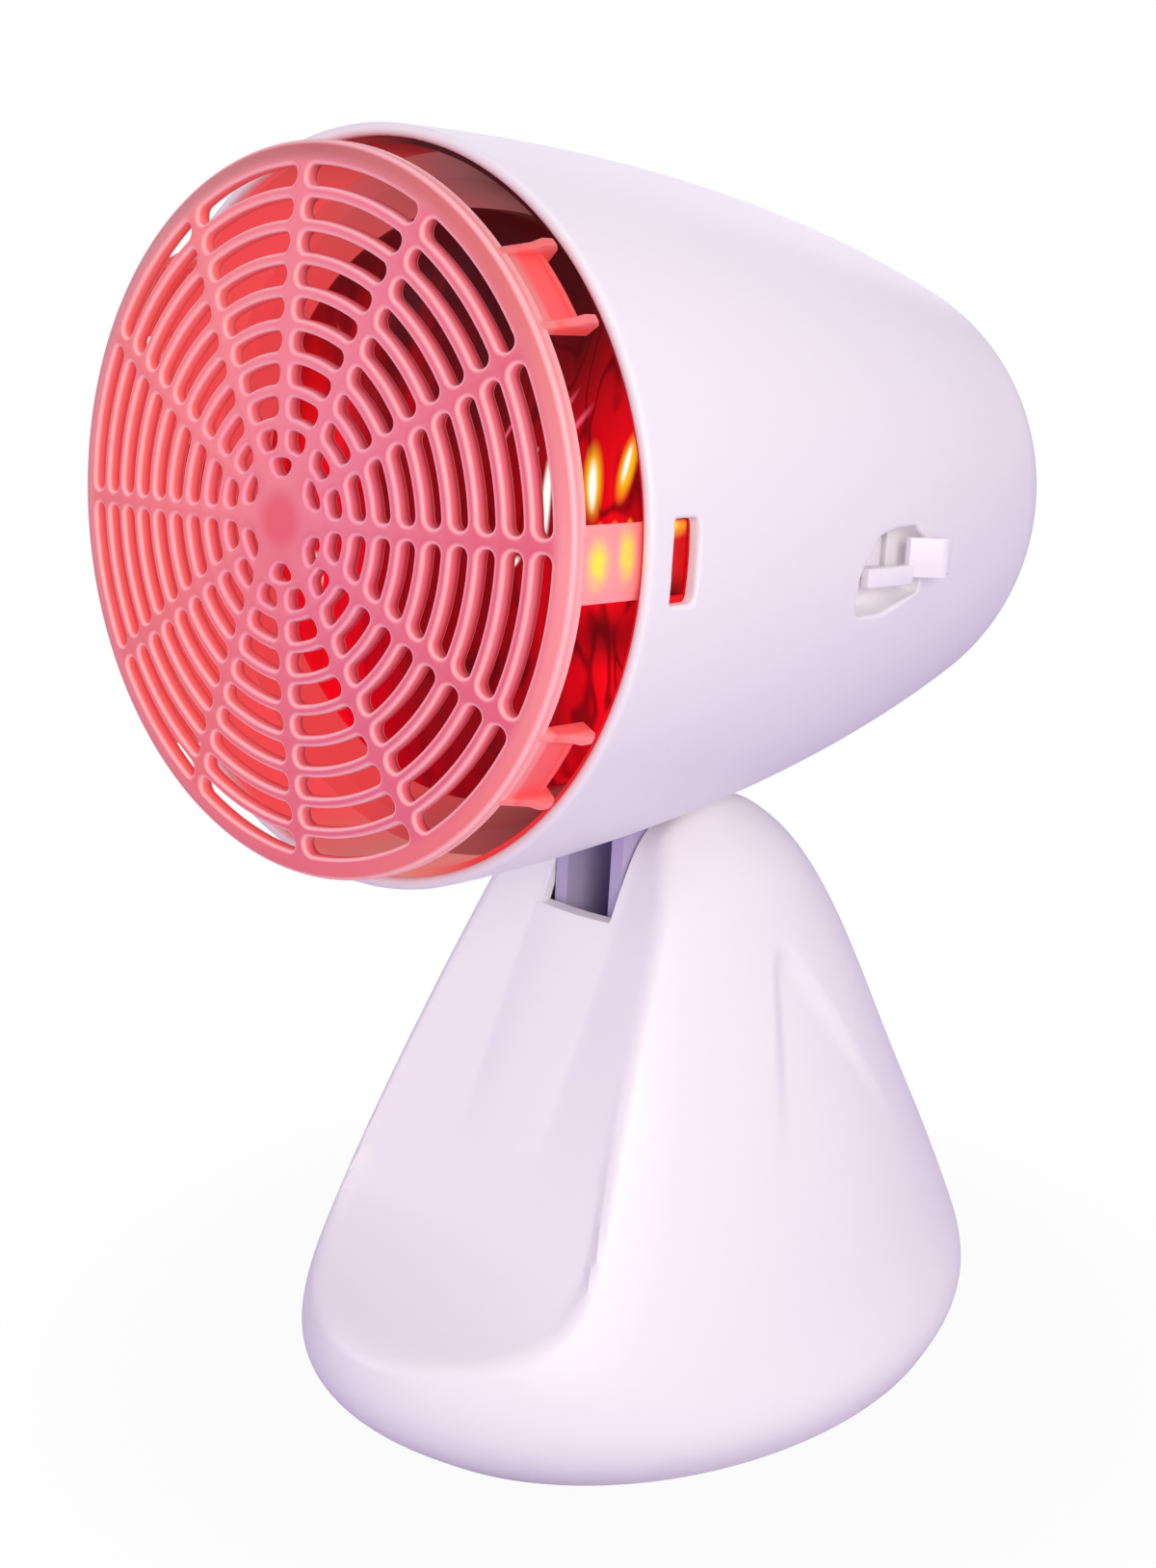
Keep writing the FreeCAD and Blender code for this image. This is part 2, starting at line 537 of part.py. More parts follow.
def make_bulb_lens():
    """Bulged front glass of the bulb with its straight rim."""
    bow = "((bulb_radius^2 + lens_crown^2) / (2 * lens_crown))"
    bore = "(bulb_radius - lens_wall)"
    under = f"({bow} - lens_wall)"
    sink = f"(-lens_front - {bow} + sqrt({under}^2 - {bore}^2))"
    return lathe("lens", [("0", "-lens_front"), ("0", "-lens_front - lens_wall"), (bore, sink),
                          (bore, f"-{BULB_SEAM}"), ("bulb_radius", f"-{BULB_SEAM}"),
                          ("bulb_radius", f"-{BULB_RIM}")], {1: (under, -1), 5: (bow, 1)})


def make_bulb_reflector():
    """Bowl of the bulb, from the lens's rim down to the neck."""
    shoulder = f"({BULB_NECK_END} - neck_radius)"
    points = [("bulb_radius - bulb_wall", f"-{BULB_SEAM}"), ("neck_radius - bulb_wall", f"-{shoulder}"),
              ("neck_radius - bulb_wall", f"-{BULB_NECK_END}"), ("neck_radius", f"-{BULB_NECK_END}"),
              ("neck_radius", f"-{shoulder}"), ("bulb_radius", f"-{BULB_SEAM}")]
    return lathe("bowl", points, {0: ("bulb_side_radius - bulb_wall", -1), 4: ("bulb_side_radius", 1)})


def make_bulb_screw():
    """Screw shell that closes the neck and goes into the holder."""
    return tube("screw_wall", "screw_radius", "screw_radius - screw_wall", f"-{SCREW_END}",
                f"-{BULB_NECK_END}")


def make_bulb_insulator():
    """Glass bead that closes the screw shell round the contact."""
    bore = "screw_radius - screw_wall"
    return tube("bead", bore, "contact_radius - 1", f"-{SCREW_END}", f"-{SCREW_END} + contact_height")


def make_bulb_contact():
    """Tip contact of the bulb, seated in its insulator."""
    rivet = cylinder("contact_rivet", "contact_radius - 1", f"-{SCREW_END}", f"-{SCREW_END} + contact_height")
    tip = cylinder("contact_tip", "contact_radius", f"-{SCREW_END} - contact_height", f"-{SCREW_END}")
    return fuse("contact", rivet, tip)


def make_bulb_stem():
    """Glass stem inside the neck, on the insulator side."""
    foot = f"-{BULB_NECK_END}"
    return fuse("stem", cylinder("stem_rod", "stem_radius", foot, f"{foot} + stem_length"),
                cylinder("stem_foot", "neck_radius - bulb_wall", foot, f"{foot} + contact_height"))


WIRE_X = "(filament_ring * cos(filament_open * 1deg))"
WIRE_Y = "(filament_ring * sin(filament_open * 1deg))"


def make_filament_wires():
    """Two supports that stand on the stem's foot and carry the ends of the filament."""
    return group("wires", *[cylinder(f"wire_{index}", "wire_radius", f"-{BULB_NECK_END} + contact_height",
                                     "-filament_back - filament_radius", (WIRE_X, f"{sign}{WIRE_Y}"))
                            for index, sign in enumerate(("", "-"))])


def make_filament():
    """Coiled filament, an open ring across the bulb's axis."""
    ring = doc.addObject("Part::Torus", "filament")
    ring.Placement = Placement(Vector(), Rotation(Vector(0, 0, 1), 1))
    bind(ring, Radius1="filament_ring", Radius2="filament_radius", Angle3="(360 - 2 * filament_open) * 1deg",
         Placement__Rotation__Angle="filament_open * 1deg")
    return shift(ring, z="-filament_back")


def make_lamp_holder():
    """Ceramic holder with a deep bore for the screw shell."""
    bore = "screw_radius + thread_gap + thread_wall"
    floor = f"-{BRACKET_FRONT} + holder_floor"
    body = cylinder("holder_body", "holder_radius", f"-{BRACKET_FRONT}", f"-{HOLDER_FRONT}")
    hole = cylinder("holder_bore", bore, floor, f"-{HOLDER_FRONT} + 1")
    mouth = cylinder("holder_mouth", "neck_radius + holder_mouth_gap", HOLDER_STEP, f"-{HOLDER_FRONT} + 1")
    screws = [cylinder(f"holder_hole_{i}", "screw_shank + hole_gap", f"-{BRACKET_FRONT} - 1",
                       f"-{BRACKET_REAR} + screw_grip + 0.5", place)
              for i, place in enumerate(HOLDER_SCREWS)]
    return cut("holder", body, hole, mouth, *screws)


HOLDER_SCREWS = [("holder_screw_ring", "0"), ("-holder_screw_ring", "0")]


def make_thread_shell():
    """Thin brass lining of the holder's bore."""
    inner = "screw_radius + thread_gap"
    return tube("lining", f"{inner} + thread_wall", inner, f"-{BRACKET_FRONT} + holder_floor", HOLDER_STEP)


def make_holder_contact():
    """Sprung contact on the floor of the holder, under the bulb's tip."""
    return cylinder("tongue", "contact_radius", f"-{BRACKET_FRONT} + holder_floor",
                    f"-{SCREW_END} - contact_height")


def make_holder_bracket():
    """Round steel plate behind the holder, screwed to the shell's three bosses."""
    plate = cylinder("bracket_plate", "bracket_radius", f"-{BRACKET_REAR}", f"-{BRACKET_FRONT}")
    holes = [cylinder(f"bracket_hole_{i}", "screw_shank + hole_gap", f"-{BRACKET_REAR} - 1",
                      f"-{BRACKET_FRONT} + 1", place) for i, place in enumerate(BOSS_PLACES + HOLDER_SCREWS)]
    lead_way = cylinder("lead_way", "contact_radius", f"-{BRACKET_REAR} - 1", f"-{BRACKET_FRONT} + 1",
                        ("0", "-holder_radius - contact_radius * 2"))
    return cut("bracket", plate, lead_way, *holes)


def make_heat_shield():
    """Thin aluminium cone behind the bulb's rim, with a flange on the shell's ledge."""
    front = "-ledge_back + shield_wall"
    return lathe("shield", [("shield_front_radius", front), ("shield_back_radius", "-shield_back"),
                            ("shield_back_radius + shield_wall", "-shield_back"),
                            ("shield_front_radius + shield_wall", "-ledge_back"),
                            ("shield_flange", "-ledge_back"), ("shield_flange", front)])


# ---------------------------------------------------------------- switch lever

def make_switch_lever():
    """Rocker lever: a tongue in the dish, a plate on the hub and a finger tab outside the shell."""
    inner = "tab_outer - tab_wall"
    side_view = [("lever_pin_depth - hub_radius", "-lever_back - hub_radius"),
                 (inner, "-plate_rear"), (f"{inner} - 0.6", "-tab_rear"), ("tab_outer - 0.6", "-tab_rear"),
                 ("tab_outer", "-plate_rear"), ("tab_outer - 1", "-plate_front"),
                 ("lever_pin_depth - hub_radius", "-lever_back + hub_radius")]
    plate = slab("lever_plate", "XZ_Plane", side_view, LEVER_BOTTOM, LEVER_TOP)
    tongue_view = [("tongue_level", "-plate_front - 1"),
                   ("tongue_level + tongue_wall + 1", "-plate_front - 1"),
                   ("tongue_level + tongue_wall", "-tongue_front"), ("tongue_level", "-tongue_front")]
    tongue = slab("lever_tongue", "XZ_Plane", tongue_view, LEVER_BOTTOM, f"{LEVER_BOTTOM} + tongue_height")
    bore = cylinder("lever_bore", "lever_pin_radius + hub_run_gap", LEVER_BOTTOM + " - 1", LEVER_TOP + " + 1",
                    ("lever_pin_depth", "-lever_back"), "Y")
    return cut("lever", fuse("lever_joined", plate, tongue), bore)


def make_lever_pin():
    """Steel pin across the cup, on which the lever rocks."""
    return cylinder("pin", "lever_pin_radius", f"{LEVER_BOTTOM} - lever_pin_grip",
                    f"{LEVER_TOP} + lever_pin_grip", ("lever_pin_depth", "-lever_back"), "Y")


SWITCH_MIDDLE = "(-(plate_front + plate_rear)/2)"


def make_power_switch():
    """Snap switch on the cup's inner face."""
    return block("switch_box", ("cup_bottom - switch_depth", "cup_bottom"),
                 ("-lever_drop - switch_width/2", "-lever_drop + switch_width/2"),
                 (f"{SWITCH_MIDDLE} - switch_length/2", f"{SWITCH_MIDDLE} + switch_length/2"))


def make_switch_terminals():
    """Two flat tabs on the inner side of the switch."""
    tabs = []
    for index, way in enumerate((-1, 1)):
        middle = f"{SWITCH_MIDDLE} + ({way}) * switch_length/4"
        tabs.append(block(f"terminal_{index}",
                          ("cup_bottom - switch_depth - terminal_length", "cup_bottom - switch_depth"),
                          ("-lever_drop - terminal_width/2", "-lever_drop + terminal_width/2"),
                          (f"{middle} - terminal_wall/2", f"{middle} + terminal_wall/2")))
    return group("terminals", *tabs)


# ---------------------------------------------------------------- neck arm and hinge

def make_neck_arm():
    """Channel arm: two flanges and a web under a top that fits the shell, with the hinge eye below."""
    ahead = [("-axis_rise + mouth_reach/2", "-mouth_reach - arm_back"),
             ("-axis_rise", "-mouth_reach - arm_back"),
             ("-axis_rise - arm_eye * 0.8", "-mouth_reach + arm_eye * 0.6"),
             ("-axis_rise + 2", "-mouth_reach + arm_front"),
             ("-axis_rise + mouth_reach/2", "-mouth_reach + arm_front")]
    solid = slab("arm_solid", "YZ_Plane", ahead, "-arm_half_width", "arm_half_width", {1: ("arm_eye", -1)})
    ceiling = f"-{side('mouth_reach', '0')} - arm_top_wall"
    inner = ("-arm_half_width + arm_flange", "arm_half_width - arm_flange")
    front = block("arm_front_pocket", inner, ("-axis_rise - arm_eye * 2", ceiling),
                  ("-mouth_reach + arm_web_front", "-mouth_reach + arm_front + 5"))
    rear = block("arm_rear_pocket", inner, ("-axis_rise - arm_eye * 2", ceiling),
                 ("-mouth_reach - arm_back - 5", "-mouth_reach + arm_web_front - arm_web_wall"))
    bore = cylinder("arm_bore", "bolt_radius + bolt_gap", "-arm_half_width - 1", "arm_half_width + 1",
                    ("-axis_rise", "-mouth_reach"), "X")
    holes = [cylinder(f"arm_hole_{i}", "screw_shank + hole_gap", f"{ceiling} - 1", "0", ("0", f"-{back}"),
                      "Y") for i, back in enumerate(NECK_SCREW_BACKS)]
    saddle = shell_form("arm_saddle", "-arm_seat_gap", "0")
    return cut("arm", solid, saddle, front, rear, bore, *holes)


def hinge_bar(name, radius, low, high):
    """Round piece on the hinge axis."""
    return cylinder(name, radius, low, high, ("pivot_back", "pivot_height"), "X")


CHEEK_INNER = "(arm_half_width + washer_wall)"
CHEEK_OUTER = "(arm_half_width + washer_wall + cheek_wall)"
NUT_SEAT = "(arm_half_width + washer_wall + cheek_wall + spring_washer_wall)"
YOKE_PLACES = [("yoke_screw_spread", "pivot_back"), ("-yoke_screw_spread", "pivot_back")]
YOKE_LOW = "(pivot_height - yoke_drop - cheek_wall)"
YOKE_TOP = "(pivot_height - yoke_drop)"
YOKE_ALONG = ("pivot_back - cheek_front", "pivot_back + cheek_back")


def make_hinge_bolt():
    """Bolt with its head against the left cheek."""
    head = hinge_bar("bolt_head", "bolt_head_radius", f"-{CHEEK_OUTER} - bolt_head_height", f"-{CHEEK_OUTER}")
    shank = hinge_bar("bolt_shank", "bolt_radius", f"-{CHEEK_OUTER}", f"{NUT_SEAT} + nut_height + 1")
    return fuse("bolt", head, shank)


def ring(name, outer, low, high):
    """Ring round the bolt."""
    return cut(name, hinge_bar(name + "_disc", outer, low, high),
               hinge_bar(name + "_hole", "bolt_radius + bolt_gap", f"({low}) - 1", f"({high}) + 1"))


def make_friction_washers():
    """Washers that hold the arm by friction, one on each side."""
    low = "arm_half_width + washer_gap"
    return group("washers", ring("washer_right", "washer_radius", low, CHEEK_INNER),
                 ring("washer_left", "washer_radius", f"-{CHEEK_INNER}", f"-({low})"))


def make_spring_washer():
    """Sprung washer under the nut."""
    return ring("spring", "spring_washer_radius", CHEEK_OUTER, NUT_SEAT)


def make_hinge_nut():
    """Nut that presses the hinge together."""
    return ring("nut", "nut_radius", NUT_SEAT, f"{NUT_SEAT} + nut_height")


def make_hinge_yoke():
    """Steel yoke: two cheeks for the bolt on a strap that is screwed to the base's shelves."""
    cheeks = []
    sides = ((CHEEK_INNER, CHEEK_OUTER), (f"-{CHEEK_OUTER}", f"-{CHEEK_INNER}"))
    for index, (low, high) in enumerate(sides):
        cheeks.append(block(f"cheek_plate_{index}", (low, high), YOKE_ALONG, (YOKE_LOW, "pivot_height")))
        cheeks.append(hinge_bar(f"cheek_eye_{index}", "cheek_eye", low, high))
    strap = block("yoke_strap", ("-yoke_half_width", "yoke_half_width"), YOKE_ALONG, (YOKE_LOW, YOKE_TOP))
    holes = [cylinder(f"yoke_hole_{i}", "screw_shank + hole_gap", f"{YOKE_LOW} - 1", f"{YOKE_TOP} + 1", place)
             for i, place in enumerate(YOKE_PLACES)]
    bore = hinge_bar("yoke_bore", "bolt_radius + bolt_gap", f"-{CHEEK_OUTER} - 1", f"{CHEEK_OUTER} + 1")
    return cut("yoke", fuse("yoke_joined", strap, *cheeks), bore, *holes)


# ---------------------------------------------------------------- base shell

OVALS = range(1, 10)


def base_form(name, inset, bottom_at=None):
    """Loft through the oval sections of the base, set in by a distance."""
    rings = []
    for index in OVALS:
        oval = doc.addObject("Part::Ellipse", f"{name}_oval_{index}")
        oval.Placement = Placement(Vector(), Rotation(Vector(0, 0, 1), 90))
        bind(oval, MajorRadius=f"oval_{index}_length - ({inset})",
             MinorRadius=f"oval_{index}_width - ({inset})")
        drop = f" - {bottom_at}" if bottom_at and index == OVALS[0] else ""
        shift(oval, "0", f"oval_{index}_back", f"oval_{index}_height{drop}")
        rings.append(oval)
    form = doc.addObject("Part::Loft", name)
    form.Sections = rings
    form.Solid = True
    return form


def head_sweep(name, grow):
    """Space that the underside of the head passes through: a bent bar with a straight rear end."""
    radius = f"{side('mouth_reach')} + head_gap + ({grow})"
    bend = doc.addObject("Part::Torus", name + "_bend")
    bend.Placement = Placement(Vector(), Rotation(Vector(1, 1, 1), 120))
    bind(bend, Radius1="axis_rise", Radius2=radius, Angle3="(sweep_front + sweep_back) * 1deg")
    tail = cylinder(name + "_tail", radius, "-sweep_tail", "0", ("0", "axis_rise"))
    sweep = fuse(name, bend, tail)
    sweep.Refine = False
    sweep.Placement = Placement(Vector(), Rotation(Vector(1, 0, 0), 1))
    bind(sweep, Placement__Rotation__Angle="(90 - sweep_back) * 1deg")
    return shift(sweep, "0", "pivot_back", "pivot_height")


def scoop(name, grow):
    """Space in front of the scoop: a side view with a hollow, within an outline seen from the front."""
    slope = "scoop_slope * 1deg"
    back, down = f"({grow}) * sin({slope})", f"({grow}) * cos({slope})"
    leave = "scoop_exit * 1deg"
    top = (f"-slot_front + (cut_height - slot_floor) / tan({slope}) + {back}", f"cut_height - {down}")
    knee = (f"-slot_front - (slot_floor - scoop_knee) / tan({slope}) + {back}", f"scoop_knee - {down}")
    heel = (f"-scoop_heel_front + ({grow}) * sin({leave})", f"scoop_heel - ({grow}) * cos({leave})")
    lip = ("-scoop_reach", f"{heel[1]} - (scoop_reach - scoop_heel_front) * tan({leave})")
    half = f"(scoop_half_bottom + ({grow}))"
    side_view = slab(name + "_side", "YZ_Plane", [top, knee, heel, lip, ("-scoop_reach", top[1])],
                     f"-{half}", half, {1: (f"scoop_hollow + ({grow})", -1)})
    half_top = f"(scoop_half_top + ({grow}))"
    low = f"(scoop_bottom - ({grow}))"
    corner = f"(scoop_corner + ({grow}))"
    inner_end = "(scoop_half_bottom - scoop_corner)"
    corners = [(half_top, "cut_height"), (f"-{half_top}", "cut_height"), (f"-{half}", "scoop_side_end"),
               (f"-{inner_end}", low), (inner_end, low), (half, "scoop_side_end")]
    front_view = slab(name + "_front", "XZ_Plane", corners, "-scoop_reach", "0",
                      {2: (f"{corner} + 1", 1), 4: (f"{corner} + 1", 1)})
    return common(name, side_view, front_view)


def dimple(name, grow, way):
    """Shallow drop-shaped hollow in one side of the base."""
    drop = doc.addObject("Part::Ellipsoid", name)
    drop.Placement = Placement(Vector(), Rotation(Vector(0, 1, 0), way))
    bind(drop, Radius1=f"dimple_half_height + ({grow})", Radius2=f"dimple_thick + ({grow})",
         Radius3=f"dimple_half_width + ({grow})", Placement__Rotation__Angle=f"-({way}) * dimple_lean * 1deg")
    out = "(dimple_thick - dimple_depth)"
    return shift(drop, f"({way}) * (dimple_x + {out} * cos(dimple_lean * 1deg))", "dimple_y",
                 f"dimple_height + {out} * sin(dimple_lean * 1deg)")


def carved(name, form, grow):
    """Base form less the head's space, the scoop and the dimples."""
    return cut(name, form, head_sweep(name + "_sweep", grow), scoop(name + "_scoop", grow),
               dimple(name + "_dimple_right", grow, 1), dimple(name + "_dimple_left", grow, -1))


PLATE_TOP = "(plate_height + plate_wall)"
POST_PLACES = [(f"{x}post_x", f"oval_1_back {y} post_y") for x in ("", "-") for y in ("+", "-")]
FOOT_PLACES = [(f"{x}foot_x", f"oval_1_back {y} foot_y") for x in ("", "-") for y in ("+", "-")]
BALLAST_PLACES = [("ballast_screw_x", "oval_1_back"), ("-ballast_screw_x", "oval_1_back")]
BALLAST_TOP = f"({PLATE_TOP} + ballast_height)"
SCREW_SINK = "(plate_height + plate_sink)"
REAR_WALL = "((oval_2_back + oval_2_length + oval_3_back + oval_3_length) / 2)"


def make_base_shell():
    """Hollow cone with posts for the base plate, shelves for the yoke, the slot and the lead's inlet."""
    posts = [cylinder(f"post_{i}", "post_radius", PLATE_TOP, "pivot_height", place)
             for i, place in enumerate(POST_PLACES)]
    sides = (("shelf_inner", "oval_3_width"), ("-oval_3_width", "-shelf_inner"))
    shelves = [block(f"shelf_{i}", across, YOKE_ALONG, (f"{YOKE_LOW} - shelf_depth", YOKE_LOW))
               for i, across in enumerate(sides)]
    inside = carved("base_inside", base_form("base_inner", "base_wall", "floor_gap"), "base_wall")
    cavity = cut("base_cavity", inside, *posts, *shelves)
    slot_half = "arm_half_width + slot_gap"
    slot = block("neck_slot", (f"-({slot_half})", slot_half), ("-scoop_reach", "pivot_back + slot_back"),
                 ("slot_floor", "cut_height"))
    relief = cylinder("slot_relief", "slot_relief", f"-({slot_half})", slot_half,
                      ("pivot_back", "pivot_height"), "X")
    holes = [cylinder(f"post_hole_{i}", "screw_shank + hole_gap", "0", f"{PLATE_TOP} + screw_grip", place)
             for i, place in enumerate(POST_PLACES)]
    holes += [cylinder(f"shelf_hole_{i}", "screw_shank + hole_gap", f"{YOKE_TOP} - screw_grip - 1", YOKE_TOP,
                       place) for i, place in enumerate(YOKE_PLACES)]
    inlet = cylinder("inlet_hole", "inlet_neck + inlet_gap", f"{REAR_WALL} - base_wall * 3",
                     f"{REAR_WALL} + base_wall", ("0", "inlet_height"), "Y")
    outside = carved("base_outside", base_form("base_outer", "0"), "0")
    return cut("base", outside, cavity, slot, relief, inlet, *holes)


def make_base_plate():
    """Oval cover of the underside, with sunk holes for its screws."""
    rim = doc.addObject("Part::Ellipse", "plate_rim")
    rim.Placement = Placement(Vector(), Rotation(Vector(0, 0, 1), 90))
    bind(rim, MajorRadius="oval_1_length - base_wall - plate_gap",
         MinorRadius="oval_1_width - base_wall - plate_gap")
    shift(rim, "0", "oval_1_back", "plate_height")
    disc = doc.addObject("Part::Extrusion", "plate_disc")
    disc.Base = rim
    disc.DirMode = "Custom"
    disc.Dir = Vector(0, 0, 1)
    disc.Solid = True
    bind(disc, LengthFwd="plate_wall")
    holes = []
    for index, place in enumerate(POST_PLACES + BALLAST_PLACES):
        holes.append(cylinder(f"plate_hole_{index}", "screw_shank + hole_gap", "0", f"{PLATE_TOP} + 1",
                              place))
    for index, place in enumerate(POST_PLACES):
        holes.append(cylinder(f"plate_sink_{index}", "screw_head + hole_gap", "0", SCREW_SINK, place))
    return cut("plate", disc, *holes)


def make_ballast():
    """Round steel weight on the base plate."""
    disc = cylinder("ballast_disc", "ballast_radius", PLATE_TOP, BALLAST_TOP, ("0", "oval_1_back"))
    holes = [cylinder(f"ballast_hole_{i}", "screw_shank + hole_gap", "0", f"{BALLAST_TOP} + 1", place)
             for i, place in enumerate(BALLAST_PLACES)]
    return cut("ballast", disc, *holes)


def make_feet():
    """Four rubber pads under the base plate."""
    return group("feet", *[cylinder(f"foot_{i}", "foot_radius", "0", "plate_height", place)
                           for i, place in enumerate(FOOT_PLACES)])


def make_inlet():
    """Rubber bush through the rear wall, with a flange outside and a lip inside."""
    at = ("0", "inlet_height")
    face = f"{REAR_WALL} + inlet_seat"
    inner = f"{REAR_WALL} - base_wall - inlet_nose"
    outer = f"{face} + inlet_flange_wall"
    sleeve = cylinder("inlet_sleeve", "inlet_neck", inner, face, at, "Y")
    collar = cylinder("inlet_collar", "inlet_flange", face, outer, at, "Y")
    way = cylinder("inlet_way", "inlet_bore", f"{inner} - 1", f"{outer} + 1", at, "Y")
    return cut("inlet", fuse("inlet_body", sleeve, collar), way)


def make_terminal_block():
    """Block on the base plate where the lead meets the lamp's own wires."""
    middle = "(oval_1_back + terminal_block_y)"
    top = f"({PLATE_TOP} + terminal_block_height)"
    box = block("block_body", ("-terminal_block_width/2", "terminal_block_width/2"),
                (f"{middle} - terminal_block_length/2", f"{middle} + terminal_block_length/2"),
                (PLATE_TOP, top))
    wells = [cylinder(f"block_well_{way + 1}", "terminal_screw_radius", f"{top} - terminal_block_height/2",
                      f"{top} + 1", (f"({way}) * terminal_block_width/4", middle)) for way in (-1, 1)]
    return cut("block_cut", box, *wells)


# ---------------------------------------------------------------- all pieces

def screw_set(name, places, seat, into, axis="Z", grip="screw_grip"):
    """Group of equal screws; seat is one height, or one for each place."""
    seats = [seat] * len(places) if isinstance(seat, str) else seat
    return group(name, *[screw(f"{name}_{index}", place, height, into, axis, grip)
                         for index, (place, height) in enumerate(zip(places, seats))])


def make_screws():
    """Every group of equal screws."""
    node("holder_screws", screw_set("holder_screw", HOLDER_SCREWS, f"-{BRACKET_REAR}", 1), in_head=True)
    node("bracket_screws", screw_set("bracket_screw", BOSS_PLACES, f"-{BRACKET_FRONT}", -1), in_head=True)
    neck = screw_set("neck_screw", [("0", f"-{back}") for back in NECK_SCREW_BACKS],
                     [neck_seat(back) for back in NECK_SCREW_BACKS], -1, "Y", "neck_screw_grip")
    node("neck_screws", neck, in_head=True)
    node("yoke_screws", screw_set("yoke_screw", YOKE_PLACES, YOKE_TOP, -1))
    node("plate_screws", screw_set("plate_screw", POST_PLACES, SCREW_SINK, 1))
    node("ballast_screws", screw_set("ballast_screw", BALLAST_PLACES, BALLAST_TOP, -1,
                                     grip=f"{BALLAST_TOP} - plate_height - 0.5"))


HEAD_PIECES = {
    "head_shell": make_head_shell, "mouth_liner": make_mouth_liner, "rear_cap": make_rear_cap,
    "guard_grille": make_grille, "heat_shield": make_heat_shield, "bulb_lens": make_bulb_lens,
    "bulb_reflector": make_bulb_reflector, "bulb_screw_cap": make_bulb_screw,
    "bulb_insulator": make_bulb_insulator, "bulb_contact": make_bulb_contact, "bulb_stem": make_bulb_stem,
    "filament_wires": make_filament_wires, "filament": make_filament, "lamp_holder": make_lamp_holder,
    "holder_thread_shell": make_thread_shell, "holder_contact": make_holder_contact,
    "holder_bracket": make_holder_bracket, "switch_lever": make_switch_lever, "lever_pin": make_lever_pin,
    "power_switch": make_power_switch, "switch_terminals": make_switch_terminals, "neck_arm": make_neck_arm,
}

BASE_PIECES = {
    "hinge_bolt": make_hinge_bolt, "friction_washers": make_friction_washers, "hinge_yoke": make_hinge_yoke,
    "spring_washer": make_spring_washer, "hinge_nut": make_hinge_nut, "base_shell": make_base_shell,
    "base_plate": make_base_plate, "ballast_weight": make_ballast, "rubber_feet": make_feet,
    "lead_inlet": make_inlet, "terminal_block": make_terminal_block,
}


def check(pieces):
    """Stop if an object failed or a piece has no sound solid."""
    failed = [obj.Name for obj in doc.Objects if "Invalid" in obj.State or "Error" in obj.State]
    if failed:
        raise RuntimeError(f"failed objects: {failed}")
    for name, obj in pieces.items():
        if obj.Shape.isNull() or not obj.Shape.isValid() or not obj.Shape.Solids:
            raise RuntimeError(f"{name} has no valid solid")


def main():
    """Build every piece, check it and write its file."""
    for name, make in HEAD_PIECES.items():
        node(name, make(), in_head=True)
    for name, make in BASE_PIECES.items():
        node(name, make())
    make_screws()
    doc.recompute()
    check(FINISHED)
    os.makedirs("parts", exist_ok=True)
    for name, obj in FINISHED.items():
        obj.Shape.exportStep(f"parts/{name}.step")
        print(f"{name}: {len(obj.Shape.Solids)} solid(s), {obj.Shape.Volume / 1000:.2f} cm3")


main()
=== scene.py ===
"""Visual model of an infrared heat therapy lamp: lilac plastic, a frosted guard and a ruby bulb."""

import json
import logging
import math
from dataclasses import dataclass, field
from enum import Enum
from typing import Callable, Iterable, Sequence

import bmesh
import bpy
import numpy as np
from mathutils import Matrix, Vector

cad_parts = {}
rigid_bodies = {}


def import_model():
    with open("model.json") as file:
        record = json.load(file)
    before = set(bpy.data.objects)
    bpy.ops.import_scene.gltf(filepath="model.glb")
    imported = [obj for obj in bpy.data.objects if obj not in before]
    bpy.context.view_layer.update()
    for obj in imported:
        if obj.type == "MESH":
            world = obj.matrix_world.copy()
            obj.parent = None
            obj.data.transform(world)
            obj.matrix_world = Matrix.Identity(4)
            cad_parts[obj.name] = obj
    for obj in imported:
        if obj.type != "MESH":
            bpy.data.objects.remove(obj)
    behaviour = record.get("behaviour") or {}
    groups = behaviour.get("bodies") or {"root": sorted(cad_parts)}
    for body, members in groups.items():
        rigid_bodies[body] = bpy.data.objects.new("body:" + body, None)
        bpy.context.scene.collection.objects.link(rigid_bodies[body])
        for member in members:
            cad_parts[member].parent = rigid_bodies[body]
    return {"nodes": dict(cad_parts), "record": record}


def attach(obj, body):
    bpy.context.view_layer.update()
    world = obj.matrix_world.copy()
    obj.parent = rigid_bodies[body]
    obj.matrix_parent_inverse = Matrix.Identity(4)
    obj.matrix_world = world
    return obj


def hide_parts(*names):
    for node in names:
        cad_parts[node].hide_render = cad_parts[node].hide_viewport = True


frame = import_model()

log = logging.getLogger("lamp")
MM = 0.001
# Millimetres within which two vertices are one.
WELD = 0.001


class BodyName(str, Enum):
    """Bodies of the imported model."""

    BASE = "base"
    HEAD = "head"
    LEVER = "lever"


class Slot(str, Enum):
    """Material slots of the record."""

    SHELL = "shell_plastic"
    LEVER = "lever_plastic"
    GUARD = "guard_plastic"
    LINER = "liner_plastic"
    SHIELD = "shield_aluminium"
    RUBY = "ruby_glass"
    SILVER = "bulb_silvering"
    BRASS = "cap_brass"
    BEAD = "bead_glass"
    STEM = "stem_glass"
    TUNGSTEN = "tungsten"
    WIRE = "wire_steel"
    CERAMIC = "holder_ceramic"
    PLATED = "plated_steel"
    SCREW = "screw_steel"
    SWITCH = "switch_plastic"
    PLATE = "plate_plastic"
    BALLAST = "ballast_iron"
    FOOT = "foot_rubber"
    WASHER = "washer_plastic"
    BUSH = "bush_rubber"
    BLOCK = "block_plastic"


# ---------------------------------------------------------------- places


